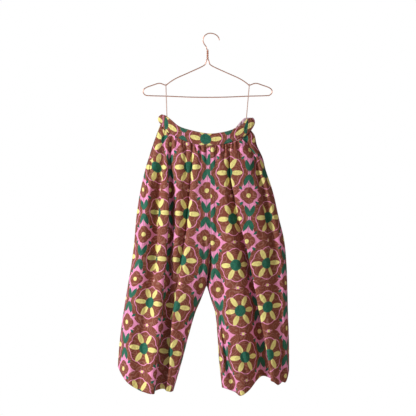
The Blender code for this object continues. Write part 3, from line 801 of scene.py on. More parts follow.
def panel_row(panel, level, stations):
    """Points of one row of the panel's main folds."""
    guides = panel_guides(panel, level)
    ends = with_ends(guides, guides[-1].z)
    return [spline_point(*ends[i : i + 4], t) for i, t in stations]


def gather_ease(panel, arcs, k):
    """1 where the gathers are full, less towards the seams and the pocket."""
    side_calm = POCKET_CALM if panel.face < 0 else GATHER_CALM
    return min(1.0, arcs[k] / side_calm, (arcs[-1] - arcs[k]) / GATHER_CALM)


def add_gathers(panel, rows):
    """Lifts the upper rows into gathers that fade down the panel."""
    arcs = lengths_along(rows[0])
    for row in rows:
        for k, point in enumerate(row):
            lift = gather(arcs[k], rows[0][k].z - point.z, panel.gather_phase)
            point.y += panel.face * gather_ease(panel, arcs, k) * lift


def clear_of_seams(panel, rows):
    """Moves the edges of a panel, so that its wall just meets the panels it is sewn to."""
    for row in rows:
        for edge, inward in ((row[0], row[1]), (row[-1], row[-2])):
            along = (edge - inward).normalized()
            reach = abs(along.x) * WALL / 2 - SEAM_LAP
            edge.y = panel.face * max(panel.face * edge.y, reach)
        for point in row:
            if point.z < CROTCH_Z - 1:
                continue
            along = (row[-1] - row[-2]).normalized()
            reach = abs(along.y) * WALL / 2 - SEAM_LAP
            outward = panel.side * (point.x - centre_x(point.z))
            point.x += panel.side * max(0.0, reach - outward)


def row_levels():
    """Levels of the rows, closer together under the waistband, where the gathers are."""
    levels = [(k / UPPER_ROWS) ** 1.25 for k in range(UPPER_ROWS)]
    levels += [1 + k / MIDDLE_ROWS for k in range(MIDDLE_ROWS)]
    levels += [2 + k / LOWER_ROWS for k in range(LOWER_ROWS + 1)]
    return levels


@lru_cache(maxsize=None)
def path_x(path, z):
    return curve_through(path, z)


def crease_move(creases, point):
    """How far the sharp creases lift the cloth at a point, and lean it to the right."""
    lift = lean = 0.0
    for crease in creases:
        top, bottom = crease.path[0][0], crease.path[-1][0]
        if not bottom < point.z < top:
            continue
        across = point.x - path_x(crease.path, round(point.z))
        width = crease.left if across < 0 else crease.right
        if abs(across) < CREASE_REACH * width:
            from_end = min(top - point.z, point.z - bottom)
            fade = smooth_step(min(1.0, from_end / CREASE_FADE))
            lift += crease.lift * fade * math.exp(-((across / width) ** 2))
            lean += crease.lean * fade * math.exp(-((across / width / LEAN_SPREAD) ** 2))
    return lift, lean


def swell(point, face):
    """Broad and small unevenness of hanging cloth."""
    lift = 0.0
    for k, (height, across, down) in enumerate(SWELLS):
        place = Vector((point.x / across, 3.7 * k + 11.3 * face, point.z / down))
        lift += height * noise.noise(place)
    return lift


def fine_gather(arc, drop):
    lift = 0.0
    for height, wave, reach, phase in FINE_GATHERS:
        depth = height * math.exp(-((drop / reach) ** 2)) * min(1.0, FINE_START + drop / FINE_ONSET)
        drift = FINE_DRIFT * math.sin(arc / FINE_DRIFT_WAVE + phase)
        lift += depth * math.cos(math.tau * arc / wave + drift)
    return lift


def tucked_under(rows, places, panel):
    """Adds the seam allowance, which turns in under the waistband and stands up behind it."""
    behind, risen = [], []
    for k, point in enumerate(rows[0]):
        along = span_at(rows[0], k)
        inward = Vector((along.y, -along.x, 0)).normalized()
        inward *= -panel.face if inward.y > 0 else panel.face
        seam = Vector((point.x, seam_point(point.x, panel.face).y, point.z))
        behind.append(seam + inward * ALLOWANCE_IN)
        risen.append(behind[-1] + Vector((0, 0, ALLOWANCE_RISE)))
    above = [
        [(place[0], place[1] + rise) for place in places[0]] for rise in (ALLOWANCE_RISE, ALLOWANCE_IN)
    ]
    return [risen, behind] + rows, above + places


def add_detail(name, panel, rows):
    """Creases, swells and fine gathers, which die out at the seams."""
    creases = CREASES[name]
    arcs = lengths_along(rows[0])
    for row in rows:
        along = lengths_along(row)
        moves = []
        for k, point in enumerate(row):
            to_seam = along[-1] - along[k]
            ease = smooth_step(min(1.0, along[k] / EDGE_EASE, to_seam / EDGE_EASE))
            drop = rows[0][k].z - point.z
            lift, lean = crease_move(creases, point)
            begun = clamped(drop / CREASE_ONSET)
            lift += swell(point, panel.face) * min(1.0, SWELL_START + drop / SWELL_ONSET)
            hollow = curve_through(SEAM_HOLLOW, point.z)
            hollow *= math.exp(-((to_seam / SEAM_HOLLOW_WIDTH) ** 2))
            gathers = gather_ease(panel, arcs, k) * fine_gather(arcs[k], drop)
            moves.append((ease * begun * lean, panel.face * (ease * begun * lift + gathers - hollow)))
        for point, (lean, lift) in zip(row, moves):
            point.x += lean
            point.y += lift


def panel_points(name, panel):
    """The finished rows of a leg panel, and the columns where its pocket's opening crosses them."""
    stations = column_stations(panel)
    rows = [panel_row(panel, level, stations) for level in row_levels()]
    hang_from_band(panel, rows)
    columns = [opening_column(row, panel) for row in rows]
    add_gathers(panel, rows)
    add_detail(name, panel, rows)
    clear_of_seams(panel, rows)
    for point in rows[0]:
        point.z -= seam_drop(point.x)
    return rows, columns


def depths_down(rows):
    """How far each row lies down the cloth from the first one, on average over the columns."""
    depths = [0.0]
    for above, below in zip(rows, rows[1:]):
        steps = [(b - a).length for a, b in zip(above, below)]
        depths.append(depths[-1] + sum(steps) / len(steps))
    return depths


def grain_length(row, lengths, x, side):
    """How far along a row, from the side seam, it meets the straight grain line."""
    k = next(k for k in range(len(row) - 1, 0, -1) if side * row[k - 1].x >= side * x)
    step = row[k].x - row[k - 1].x
    return blend(lengths[k - 1], lengths[k], clamped((x - row[k - 1].x) / step))


def panel_threads(name, panel, rows):
    """Where each point lies on the flat cloth: across from the straight grain line, and down along it."""
    line, shift = GRAIN_LINES[name]
    measured = [lengths_along(row) for row in rows]
    crossings, grain = [], []
    for row, lengths in zip(rows, measured):
        x = curve_through(line, sum(point.z for point in row) / len(row))
        crossings.append(grain_length(row, lengths, x, panel.side))
        z = point_along(row, lengths, crossings[-1]).z
        grain.append(Vector((curve_through(line, z), 0, z)))
    depths = lengths_along(grain)
    places = []
    for j, (row, lengths) in enumerate(zip(rows, measured)):
        down = span_at(grain, j, GRAIN_ROWS).normalized()
        places.append([
            Vector((
                panel.side * (crossings[j] - length + shift),
                PRINT_START - depths[j] - (point - grain[j]).dot(down),
            ))
            for point, length in zip(row, lengths)
        ])
    return places


def hang_from_band(panel, rows):
    """Brings the top row to the waistband's seam, and the rows below it with it, less and less."""
    for k, top in enumerate(rows[0]):
        top_z = top.z
        shift = seam_point(top.x, panel.face) - top
        for row in rows:
            drop = top_z - row[k].z
            row[k] += shift * math.exp(-((drop / BAND_EASE) ** 2) / 2)


# ---------------------------------------------------------------- waistband


def seam_point(x, face):
    """Where the waistband and the leg panels meet, at a distance from the middle."""
    end = SEAM_EDGE[0][0] if x < 0 else SEAM_EDGE[-1][0]
    z = curve_through(SEAM_EDGE, x)
    return Vector((x, face * plain_depth(1 - min(1.0, x / end), z), z))


def seam_drop(x):
    """How far below the seam a panel's edge starts, more where the seam is steep."""
    inward = x - math.copysign(1, x)
    slope = curve_through(SEAM_EDGE, inward) - curve_through(SEAM_EDGE, x)
    return BAND_CLEARANCE * math.hypot(1, slope)


def top_point(x, face):
    """The waistband's upper edge, at a distance from the middle."""
    end = TOP_EDGE[0][0] if x < 0 else TOP_EDGE[-1][0]
    depth = TOP_DEPTH * (1 - min(1.0, x / end) ** 2) ** 0.5
    return Vector((x, face * depth, curve_through(TOP_EDGES[face], x)))


def band_point(angle, share, ruche=0.0):
    """A point of the waistband's ring: angle is 0 at the left end, a quarter turn at the front's
    middle and half a turn at the right end; share is 0 at the upper edge and 1 at the seam."""
    across = -math.cos(angle)
    face = -1 if math.sin(angle) > 0 else 1
    end = 0 if across < 0 else -1
    top = top_point(abs(across) * TOP_EDGE[end][0], face)
    seam = seam_point(abs(across) * SEAM_EDGE[end][0], face)
    point = top.lerp(seam, share)
    side = -1 if across < 0 else 1
    ruche *= 1 - 0.5 * across**8
    bulge = BAND_END_BULGE[side] * math.sin(math.pi * share**0.8) * abs(across) ** BAND_END_POWER
    point.x += side * bulge + ruche * across**3
    point.y += face * ruche * (1 - across**6)
    return point


def band_angle(x, top_x):
    return math.acos(-x / top_x)


def even_angles(start, stop, count):
    """Angles between start and stop that part the waistband's ring into equal lengths."""
    fine = [blend(start, stop, k / BAND_MEASURES) for k in range(BAND_MEASURES + 1)]
    lengths = lengths_along([band_point(angle, 0.5) for angle in fine])
    angles = []
    i = 0
    for k in range(count + 1):
        wanted = lengths[-1] * k / count
        while i < BAND_MEASURES - 1 and lengths[i + 1] < wanted:
            i += 1
        angles.append(blend(fine[i], fine[i + 1], (wanted - lengths[i]) / (lengths[i + 1] - lengths[i])))
    return angles


def band_grid(angles, ruches):
    """Rows of points from the waistband's upper edge down to its seam, held in by rows of elastic."""
    rows = []
    for j in range(BAND_ROWS + 1):
        share = j / BAND_ROWS
        held = 1 - ELASTIC_HOLD * math.cos(math.pi * ELASTIC_ROWS * share) ** 4
        rows.append([band_point(a, share, r * held) for a, r in zip(angles, ruches)])
    for row in rows:
        row[0] += (row[1] - row[0]).normalized() * SEAM_GAP / 2
        row[-1] += (row[-2] - row[-1]).normalized() * SEAM_GAP / 2
    return rows


def front_band_rows():
    left = band_angle(BAND_SEAM_LEFT, -TOP_EDGE[0][0])
    right = band_angle(BAND_SEAM_RIGHT, TOP_EDGE[-1][0])
    return band_grid(even_angles(left, right, FRONT_BAND_COLUMNS), [0.0] * (FRONT_BAND_COLUMNS + 1))


def back_band_rows():
    """The ruched band, from the right seam round the back to the left seam."""
    right = band_angle(BAND_SEAM_RIGHT, TOP_EDGE[-1][0])
    left = band_angle(BAND_SEAM_LEFT, -TOP_EDGE[0][0]) + math.tau
    count = RUCHE_COUNT * RUCHE_COLUMNS
    ruches = []
    for k in range(count + 1):
        ease = min(1.0, k / RUCHE_COLUMNS, (count - k) / RUCHE_COLUMNS)
        turn = math.pi * (k / RUCHE_COLUMNS + RUCHE_DRIFT * math.sin(k / RUCHE_DRIFT_WAVE))
        uneven = 1 + RUCHE_UNEVEN * math.sin(k / RUCHE_UNEVEN_WAVE + 1.0)
        pucker = 1.1 - 2.2 * abs(math.sin(turn)) ** RUCHE_SHARPNESS
        ruches.append(RUCHE_DEPTH * ease * uneven * pucker)
    return band_grid(even_angles(right, left, count), ruches)


# ---------------------------------------------------------------- pockets


def beyond_opening(point, panel):
    """How far a point lies to the side of the slanted line of the pocket's opening."""
    top_x = POCKET_TOPS[panel.side]
    top_z = curve_through(SEAM_EDGE, top_x)
    rise = (point.z - POCKET_END_Z) / (top_z - POCKET_END_Z)
    if rise < 0:
        return -1.0
    return panel.side * (point.x - blend(side_x(POCKET_END_Z, panel.side), top_x, rise))


def opening_column(row, panel):
    """The column, with its fraction, where a plain row crosses the opening, counted from the side seam."""
    found = 0.0
    for k in range(len(row) // 2):
        here, ahead = beyond_opening(row[k], panel), beyond_opening(row[k + 1], panel)
        if here > 0 >= ahead:
            found = k + here / (here - ahead)
    return found


def opening_length(row, column):
    lengths = lengths_along(row)
    k = int(column)
    return blend(lengths[k], lengths[k + 1], column - k)


def cut_pocket(rows, values, openings):
    """
    Draws the side edge of a front panel in to the slanted opening, along its own surface.
    The values are the rows themselves, or what else is known at each of their points.
    """
    cut = []
    for row, line, opening in zip(rows, values, openings):
        lengths = lengths_along(row)
        settled = 2 * opening + 1
        moved = []
        for length in lengths:
            eased = opening + length * (settled - opening) / settled
            moved.append(point_along(line, lengths, eased if length < settled else length))
        cut.append(moved)
    return cut


def moved_in(rows, distance, turn):
    """The same surface, moved along its normals; turn is 1 or -1 and says to which side."""
    moved = []
    for j, row in enumerate(rows):
        above, below = rows[max(j - 1, 0)], rows[min(j + 1, len(rows) - 1)]
        line = []
        for k, point in enumerate(row):
            along = span_at(row, k)
            normal = along.cross(below[k] - above[k]).normalized()
            line.append(point + normal * (turn * distance))
        moved.append(line)
    return moved


def pocket_facing(panel, rows, cut, openings):
    """The cloth inside a side pocket: the panel's own surface, moved in behind the opening."""
    surface = []
    for row, front, opening in zip(rows, cut, openings):
        lengths = lengths_along(row)
        if opening < POCKET_LEAST:
            columns = POCKET_COLUMNS + POCKET_LAP_COLUMNS
            steps = [POCKET_END_WIDTH * k / columns for k in range(columns + 1)]
            surface.append([point_along(row, lengths, step) for step in steps])
            break
        side = [point_along(row, lengths, opening * k / POCKET_COLUMNS) for k in range(POCKET_COLUMNS)]
        surface.append(side + front[: POCKET_LAP_COLUMNS + 1])
    facing = moved_in(surface, WALL + POCKET_GAP, panel.side * panel.face)
    for line, row in zip(facing, rows):
        for point in line:
            point.y = panel.face * max(panel.face * point.y, panel.face * row[0].y)
    return facing


# ---------------------------------------------------------------- hanger


def smooth_route(points, pitch):
    """The same route with a point about every pitch, rounded through its corners."""
    ends = [2 * points[0] - points[1], *points, 2 * points[-1] - points[-2]]
    route = []
    for i in range(len(points) - 1):
        count = max(1, round((points[i + 1] - points[i]).length / pitch))
        route += [spline_point(*ends[i : i + 4], k / count) for k in range(count)]
    return route + [points[-1]]


def hook_route():
    """The hook from its tip over the top and down to the neck."""
    middle = Vector((0, 0, WIRE_RADIUS - HOOK_HEIGHT))
    route = []
    for step in range(HOOK_STEPS + 1):
        turn = math.radians(180 / HOOK_STEPS * step)
        reach = HOOK_REACH_RIGHT if step < HOOK_STEPS / 2 else HOOK_REACH_LEFT
        route.append(middle + Vector((reach * math.cos(turn), 0, HOOK_HEIGHT * math.sin(turn))))
    return route + [Vector((x, 0, z)) for x, z in HOOK_TAIL]


def strand(start, down):
    """One of the two wires twisted round each other in the neck."""
    reach = WIRE_RADIUS + TWIST_CLEARANCE / 2
    count = round(TWIST_STEPS * TWIST_TURNS)
    route = []
    for step in range(count + 1):
        turn = start + math.tau * TWIST_TURNS * step / count
        z = blend(TWIST_TOP_Z, TWIST_BOTTOM_Z, step / count)
        route.append(Vector((NECK_X + reach * math.cos(turn), reach * math.sin(turn), z)))
    return route if down else route[::-1]


def hanger_route():
    """One wire: hook, down through the twisted neck, round the frame and up the twist to its end."""
    half = [Vector((x, 0, z)) for x, z in FRAME_HALF]
    right = [Vector((NECK_X + p.x, 0, p.z)) for p in half]
    left = [Vector((NECK_X - p.x, 0, p.z)) for p in reversed(half)]
    round_frame = smooth_route([*right, Vector((NECK_X, 0, FRAME_CENTRE_Z)), *left], FRAME_PITCH)
    hook = smooth_route(hook_route(), HOOK_PITCH)
    return hook + strand(math.pi, True) + round_frame + strand(0, False)


# ---------------------------------------------------------------- hanging loops


def loop_rows(notch_x, band_x):
    """A ribbon from inside the waistband, over the hanger's notch and back down."""
    notch_z = FRAME_HALF[NOTCH][1]
    reach = WIRE_RADIUS + NOTCH_CLEARANCE + RIBBON_WALL / 2
    outer_x = band_x + math.copysign(RIBBON_WIDTH, band_x)
    inside_y = top_point(outer_x, -1).y + (BAND_WALL + RIBBON_WALL) / 2 + RIBBON_CLEARANCE
    below_bar = FRAME_CENTRE_Z - BAR_DROP
    end_z, foot_z = RIBBON_END_Z, RIBBON_END_Z + RIBBON_FOOT
    route = [(inside_y, end_z), (inside_y, foot_z), (-reach, below_bar), (-reach, notch_z)]
    for step in range(1, RIBBON_TURN_STEPS):
        turn = math.pi * step / RIBBON_TURN_STEPS
        route.append((-reach * math.cos(turn), notch_z + reach * math.sin(turn)))
    behind = inside_y + RIBBON_WALL + RIBBON_CLEARANCE
    route += [(reach, notch_z), (reach, below_bar), (behind, foot_z), (behind, end_z)]
    rows = []
    for middle in smooth_route([Vector((0, y, z)) for y, z in route], RIBBON_PITCH):
        fallen = (notch_z - middle.z) / (notch_z - end_z - RIBBON_FOOT)
        x = blend(notch_x, band_x, clamped(fallen))
        line = []
        for k in range(RIBBON_COLUMNS + 1):
            across = k / RIBBON_COLUMNS - 0.5
            line.append(Vector((x + across * RIBBON_WIDTH, middle.y, middle.z)))
        rows.append(line)
    return rows


# ---------------------------------------------------------------- shader expressions


class Value:
    """A number that changes over a surface. An operator on it adds a Math node."""

    def __init__(self, finish, socket):
        self.finish = finish
        self.socket = socket

    def math(self, operation, *others, limit=False):
        inputs = dict(enumerate((self, *others)))
        return self.finish.node("ShaderNodeMath", {"operation": operation, "use_clamp": limit}, inputs)

    def swapped(self, operation, other):
        return self.finish.node("ShaderNodeMath", {"operation": operation}, {0: other, 1: self})

    def also(self, output):
        """Another output of the same node."""
        return Value(self.finish, self.socket.node.outputs[output])

    def __add__(self, other):
        return self.math("ADD", other)

    def __sub__(self, other):
        return self.math("SUBTRACT", other)

    def __rsub__(self, other):
        return self.swapped("SUBTRACT", other)

    def __mul__(self, other):
        return self.math("MULTIPLY", other)

    def __truediv__(self, other):
        return self.math("DIVIDE", other)

    def __rtruediv__(self, other):
        return self.swapped("DIVIDE", other)

    def __pow__(self, other):
        return self.math("POWER", other)

    def __abs__(self):
        return self.math("ABSOLUTE")

    __radd__ = __add__
    __rmul__ = __mul__


class Surface:
    """A material under construction."""

    def __init__(self, name):
        self.material = bpy.data.materials.new(name)
        self.material.use_nodes = True
        self.tree = self.material.node_tree
        self.shader = self.tree.nodes["Principled BSDF"]

    def node(self, kind, settings=None, inputs=None, output=0):
        made = self.tree.nodes.new(kind)
        for name, setting in (settings or {}).items():
            setattr(made, name, setting)
        for key, value in (inputs or {}).items():
            self.feed(made.inputs[key], value)
        return Value(self, made.outputs[output])

    def feed(self, socket, value):
        if isinstance(value, Value):
            self.tree.links.new(value.socket, socket)
        elif socket.type == "RGBA" and len(value) == 3:
            socket.default_value = (*value, 1)
        else:
            socket.default_value = value

    def mix(self, factor, first, second, blend_type="MIX"):
        settings = {"data_type": "RGBA", "blend_type": blend_type}
        return self.node("ShaderNodeMix", settings, {0: factor, 6: first, 7: second}, 2)

    def noise(self, place, scale, detail=2.0, roughness=0.5):
        inputs = {"Vector": place, "Scale": scale, "Detail": detail, "Roughness": roughness}
        return self.node("ShaderNodeTexNoise", {}, inputs)

    def stretched(self, place, scale):
        return self.node("ShaderNodeMapping", {}, {"Vector": place, "Scale": scale})

    def objects(self):
        """Places measured in the object's own space."""
        return self.node("ShaderNodeTexCoord", output="Object")

    def threads(self):
        """Places on the flat cloth, across its threads and along them."""
        return self.node("ShaderNodeUVMap", {"uv_map": THREAD_MAP})

    def split(self, place):
        """The parts of a place; the first is what comes back."""
        return self.node("ShaderNodeSeparateXYZ", {}, {0: place})

    def wave(self, value, pitch):
        return (value * (math.tau / pitch)).math("SINE")

    def bump(self, height, distance, strength=1.0):
        inputs = {"Height": height, "Distance": distance, "Strength": strength}
        return self.node("ShaderNodeBump", {}, inputs)

    def finish(self, **inputs):
        """Feeds the shader's sockets, named with underscores for spaces."""
        for name, value in inputs.items():
            self.feed(self.shader.inputs[name.replace("_", " ")], value)
        return self.material


# ---------------------------------------------------------------- print and finishes


THREAD_MAP = "thread_directions"
EDGE_MAP = "edge_distance"
SOFT_EDGE = 0.7
INK_DRIFT = 2.4
TONE_LINES = 56.0
TONE_TINT = (0.20, 0.105, 0.080)

# Measures of the print, in millimetres. The block's middle holds the daisy in its disc, its corner the
# blossom and the bud, its edges the leaves, the stem and the dot.
DISC_RADIUS, SCALLOP_DEPTH = 68.0, 5.0
CHANNEL_INSET, CHANNEL_HALF = 51.5, 1.3
PETAL_TURN = math.pi / 6
PETAL_PLACE, PETAL_LONG, PETAL_WIDE = 35.5, 18.5, 8.3
VEIN_PLACE, VEIN_LONG, VEIN_HALF = 29, 10, 0.45
HEART_RADIUS = 19.0
RING_RADIUS, RING_HALF = 12.5, 0.9
BLOSSOM_PLACE, BLOSSOM_RADIUS, BLOSSOM_MIDDLE = 12, 17.0, 7.5
STEM_HALF, STEM_LONG = 0.9, 56
DOT_RADIUS = 4.4
RIB_HALF = 0.4
# Leaves: middle, turn from the x axis, half length and half width
TALL_LEAF = ((8.6, 25), math.radians(70), 22, 7.8)
FLAT_LEAF = ((27, 10.5), math.radians(20), 24, 9.6)
BUD = ((26.5, 26.5), math.radians(45), 8.0, 4.2)
STEM_GREY = (0.16, 0.20, 0.17)

# The cotton: pitch of its threads and width of the worn edge in metres, what fades it, what the grain
# darkens it with, and how pale the reverse is
WEAVE_PITCH = 0.00075
WORN_EDGE = 0.0015
FADED = (0.80, 0.62, 0.60)
GRAIN_SHADE = (0.10, 0.05, 0.05)
REVERSE_SHARE = 0.72
TAPE_RIB_PITCH, TAPE_STRAND_PITCH = 0.0009, 0.0006
COPPER_SHADE = (0.72, 0.55, 0.52)


def inside(distance, edge):
    """1 inside a shape of the print, 0 outside, with a soft edge; distances in millimetres."""
    return ((edge - distance) * (1 / SOFT_EDGE)).math("ADD", 0.5, limit=True)


def shaded(colour, share):
    """A darker tone of a colour."""
    return [share * part for part in colour]


def length_of(x, y):
    return (x * x + y * y).math("SQRT")


def almond(x, y, middle, turn, half_length, half_width):
    """A pointed leaf about its middle, its length turned from the x axis."""
    across, along = x - middle[0], y - middle[1]
    lengthwise = across * math.cos(turn) + along * math.sin(turn)
    sideways = along * math.cos(turn) - across * math.sin(turn)
    bent = lengthwise * (1 / half_length)
    return inside(abs(sideways) + bent * bent * half_width, half_width), abs(sideways)


def flower_print(surface, place, repeat, colours):
    """A block repeat: a round daisy in a scalloped disc, small four-petalled flowers and leaves."""
    drift = (surface.noise(place, 130, 1) - 0.5) * INK_DRIFT
    parts = surface.split(place)
    half = repeat / 2
    x = (parts * 1000 + drift).math("WRAP", half, -half)
    y = (parts.also(1) * 1000 - drift).math("WRAP", half, -half)
    radius = length_of(x, y)
    angle = y.math("ARCTAN2", x)
    wide, high = half - abs(x), half - abs(y)

    rim = abs((angle * 4).math("COSINE")) * SCALLOP_DEPTH
    disc = inside(radius, rim + DISC_RADIUS)
    channel = inside(abs(radius - rim - CHANNEL_INSET), CHANNEL_HALF)
    turn = angle.math("WRAP", PETAL_TURN, -PETAL_TURN)
    along, across = radius * turn.math("COSINE"), radius * turn.math("SINE")
    petals = inside(length_of((along - PETAL_PLACE) * (PETAL_WIDE / PETAL_LONG), across), PETAL_WIDE)
    vein = inside(abs(across), VEIN_HALF) * inside(abs(along - VEIN_PLACE), VEIN_LONG)
    heart = inside(radius, HEART_RADIUS)
    ring = inside(abs(radius - RING_RADIUS), RING_HALF)

    beside, over = length_of(wide - BLOSSOM_PLACE, high), length_of(wide, high - BLOSSOM_PLACE)
    blossom = inside(beside.math("MINIMUM", over), BLOSSOM_RADIUS)
    middle = inside(length_of(wide, high), BLOSSOM_MIDDLE)
    stem = inside(wide, STEM_HALF) * inside(abs(y), STEM_LONG)
    tall_leaf, tall_rib = almond(wide, abs(y), *TALL_LEAF)
    flat_leaf, flat_rib = almond(abs(x), high, *FLAT_LEAF)
    bud, _ = almond(wide, high, *BUD)
    dot = inside(length_of(x, high), DOT_RADIUS)

    brown = (disc * (1 - channel)).math("MAXIMUM", blossom).math("MAXIMUM", flat_leaf)
    yellow = petals.math("MAXIMUM", middle).math("MAXIMUM", dot)
    green = heart.math("MAXIMUM", tall_leaf).math("MAXIMUM", bud)
    ribs = inside(tall_rib, RIB_HALF) * tall_leaf + inside(flat_rib, RIB_HALF) * flat_leaf
    ribs = ribs + vein * petals
    grey_stem = stem * (1 - brown) * (1 - green)

    waves = (surface.noise(place, 26, 1, 0.4) * TONE_LINES).math("SINE")
    lines = (waves * 3 - 1.5).math("MULTIPLY", 1.0, limit=True)
    flower_line = [0.55 * c + d for c, d in zip(colours.flower, TONE_TINT)]
    flower = surface.mix(lines * 0.85, colours.flower, flower_line)
    leaf = surface.mix((lines + ring) * 0.5, colours.leaf, shaded(colours.leaf, 0.5))
    petal = surface.mix(lines * 0.10, colours.petal, shaded(colours.petal, 0.8))

    colour = surface.mix(grey_stem * 0.8, colours.ground, STEM_GREY)
    colour = surface.mix(brown, colour, flower)
    colour = surface.mix(yellow, colour, petal)
    colour = surface.mix(green, colour, leaf)
    return surface.mix(ribs * 0.35, colour, shaded(colours.flower, 0.6))


def weave_height(surface, place):
    """Plain weave with uneven threads and the small crumples of pressed cotton."""
    parts = surface.split(place)
    warp, weft = surface.wave(parts, WEAVE_PITCH), surface.wave(parts.also(1), WEAVE_PITCH)
    slubs = surface.noise(surface.stretched(place, (1, 14, 1)), 160, 2)
    crumples = surface.noise(place, 85, 3, 0.55)
    pinches = 1 - abs(surface.noise(place, 38, 2) * 2 - 1)
    return warp * weft * 0.16 + slubs * 0.5 + crumples * 3.4 + pinches**6 * 3.2


def printed_cotton(name, context, reverse):
    """The printed cloth: its right side, or the paler reverse that the ink has soaked into."""
    colours, cloth = context.scene.pants_colours, context.scene.pants_cloth
    surface = Surface(name)
    place = surface.threads()
    ink = flower_print(surface, place, cloth.repeat / MM, colours)
    fade = surface.noise(place, 9, 3)
    grain = surface.noise(surface.stretched(place, (1, 6, 1)), 420, 2)
    edge = surface.node("ShaderNodeAttribute", {"attribute_name": EDGE_MAP}, output="Fac")
    worn = (1 - edge * (1 / WORN_EDGE)).math("MAXIMUM", 0) * 0.10
    colour = surface.mix(fade * 0.05 + worn, ink, FADED)
    colour = surface.mix(grain * 0.22, colour, GRAIN_SHADE, "MULTIPLY")
    if reverse:
        colour = surface.mix(REVERSE_SHARE, colour, colours.reverse)
    return surface.finish(
        Base_Color=colour,
        Roughness=grain * 0.12 + 0.78,
        Normal=surface.bump(weave_height(surface, place), 0.0005, 0.7),
        Specular_IOR_Level=0.12,
        Sheen_Weight=0.03,
        Sheen_Roughness=0.5,
    )


def both_sides(context, right_name, reverse_name):
    """The finishes of the printed cloth's right side and of its reverse."""
    return [printed_cotton(right_name, context, False), printed_cotton(reverse_name, context, True)]


def thread_finish(context):
    """Spun sewing thread, with its twist."""
    surface = Surface("sewing thread")
    place = surface.objects()
    tint = context.scene.pants_colours.thread
    shade = surface.noise(place, 900, 1)
    colour = surface.mix(shade, tint, shaded(tint, 0.6))
    height = surface.noise(surface.stretched(place, (1, 1, 3)), 2400, 1)
    return surface.finish(
        Base_Color=colour,
        Roughness=shade * 0.2 + 0.5,
        Normal=surface.bump(height, 0.0001),
        Sheen_Weight=0.1,
    )


def tape_finish(context):
    """Narrow woven tape with ribs across it and strands along it."""
    surface = Surface("loop tape")
    place = surface.threads()
    parts = surface.split(place)
    ribs = surface.wave(parts.also(1), TAPE_RIB_PITCH) * 0.5 + 0.5
    strands = surface.wave(parts, TAPE_STRAND_PITCH) * 0.5 + 0.5
    tint = context.scene.pants_colours.tape
    colour = surface.mix(ribs * 0.3 + strands * 0.15, tint, shaded(tint, 0.55))
    return surface.finish(
        Base_Color=colour,
        Roughness=ribs * 0.15 + 0.55,
        Normal=surface.bump(ribs + strands * 0.5, 0.0002),
        Sheen_Weight=0.2,
    )


def copper_finish(context):
    """Bright copper plating with faint rubbed patches and drawing lines."""
    surface = Surface("copper plating")
    place = surface.objects()
    tint = context.scene.pants_colours.copper
    patches = surface.noise(place, 22, 4)
    fine = surface.noise(place, 700, 2)
    colour = surface.mix(patches * 0.5, tint, [c * d for c, d in zip(tint, COPPER_SHADE)])
    return surface.finish(
        Base_Color=colour,
        Metallic=1.0,
        Roughness=patches * 0.14 + fine * 0.08 + 0.30,
        Normal=surface.bump(fine, 0.00004, 0.4),
    )


def floor_finish():
    """Plain pale floor, a little uneven in tone."""
    surface = Surface("studio floor")
    tone = surface.noise(surface.objects(), 3, 2)
    colour = surface.mix(tone, (0.84, 0.83, 0.82), (0.88, 0.88, 0.87))
    return surface.finish(Base_Color=colour, Roughness=0.9)


# ---------------------------------------------------------------- cloth pieces


def cut_size(rows, fullness=1.0):
    """The flat cloth of a grid of points: its greatest width, its length, and its area, in metres."""
    widths = [lengths_along(row)[-1] for row in rows]
    depths = depths_down(rows)
    area = 0.0
    for j in range(len(rows) - 1):
        area += (widths[j] + widths[j + 1]) / 2 * (depths[j + 1] - depths[j])
    return (max(widths) * MM * fullness, depths[-1] * MM), area * MM * MM * fullness


def turn_outwards(shape, direction, count):
    """Turns the faces over if the first of them look away from a direction."""
    shape.normal_update()
    shape.faces.ensure_lookup_table()
    total = Vector((0, 0, 0))
    for face in shape.faces[:count]:
        total += face.normal * face.calc_area()
    if total.dot(direction) < 0:
        bmesh.ops.reverse_faces(shape, faces=shape.faces)


def edge_distances(rows):
    """How far each point lies from the nearest edge of its piece."""
    depths = depths_down(rows)
    distances = []
    for row, depth in zip(rows, depths):
        lengths = lengths_along(row)
        for length in lengths:
            distances.append(min(length, lengths[-1] - length, depth, depths[-1] - depth) * MM)
    return distances


def placed(context, name, data):
    """A new object in the scene."""
    made = bpy.data.objects.new(name, data)
    context.scene.collection.objects.link(made)
    return made


def drawn(name, shape):
    """The mesh of a finished shape."""
    mesh = bpy.data.meshes.new(name)
    shape.to_mesh(mesh)
    shape.free()
    return mesh


def show(context, name, data, materials):
    """Adds a finished piece to the scene, moving with the one body of the pants."""
    piece = placed(context, name, data)
    for material in materials:
        data.materials.append(material)
    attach(piece, "root")
    return piece


def cloth(context, name, rows, places, wall, direction, materials, outward_faces=None):
    """A grid of points, row by row, with its places on the flat cloth, as thick as its cloth."""
    shape = bmesh.new()
    bmesh.ops.create_grid(shape, x_segments=len(rows[0]) - 1, y_segments=len(rows) - 1, size=1)
    shape.verts.ensure_lookup_table()
    shape.verts.index_update()
    flat = [Vector(place) * MM for line in places for place in line]
    edge = shape.verts.layers.float.new(EDGE_MAP)
    points = [point for row in rows for point in row]
    for vertex, point, distance in zip(shape.verts, points, edge_distances(rows)):
        vertex.co = point * MM
        vertex[edge] = distance
    threads = shape.loops.layers.uv.new(THREAD_MAP)
    for face in shape.faces:
        for loop in face.loops:
            loop[threads].uv = flat[loop.vert.index]
    turn_outwards(shape, direction, outward_faces)
    mesh = drawn(name, shape)
    mesh.shade_smooth()
    piece = show(context, name, mesh, materials)
    solid = piece.modifiers.new("Cloth thickness", "SOLIDIFY")
    solid.thickness = wall
    solid.offset = 0.0
    solid.material_offset = len(materials) - 1
    return piece


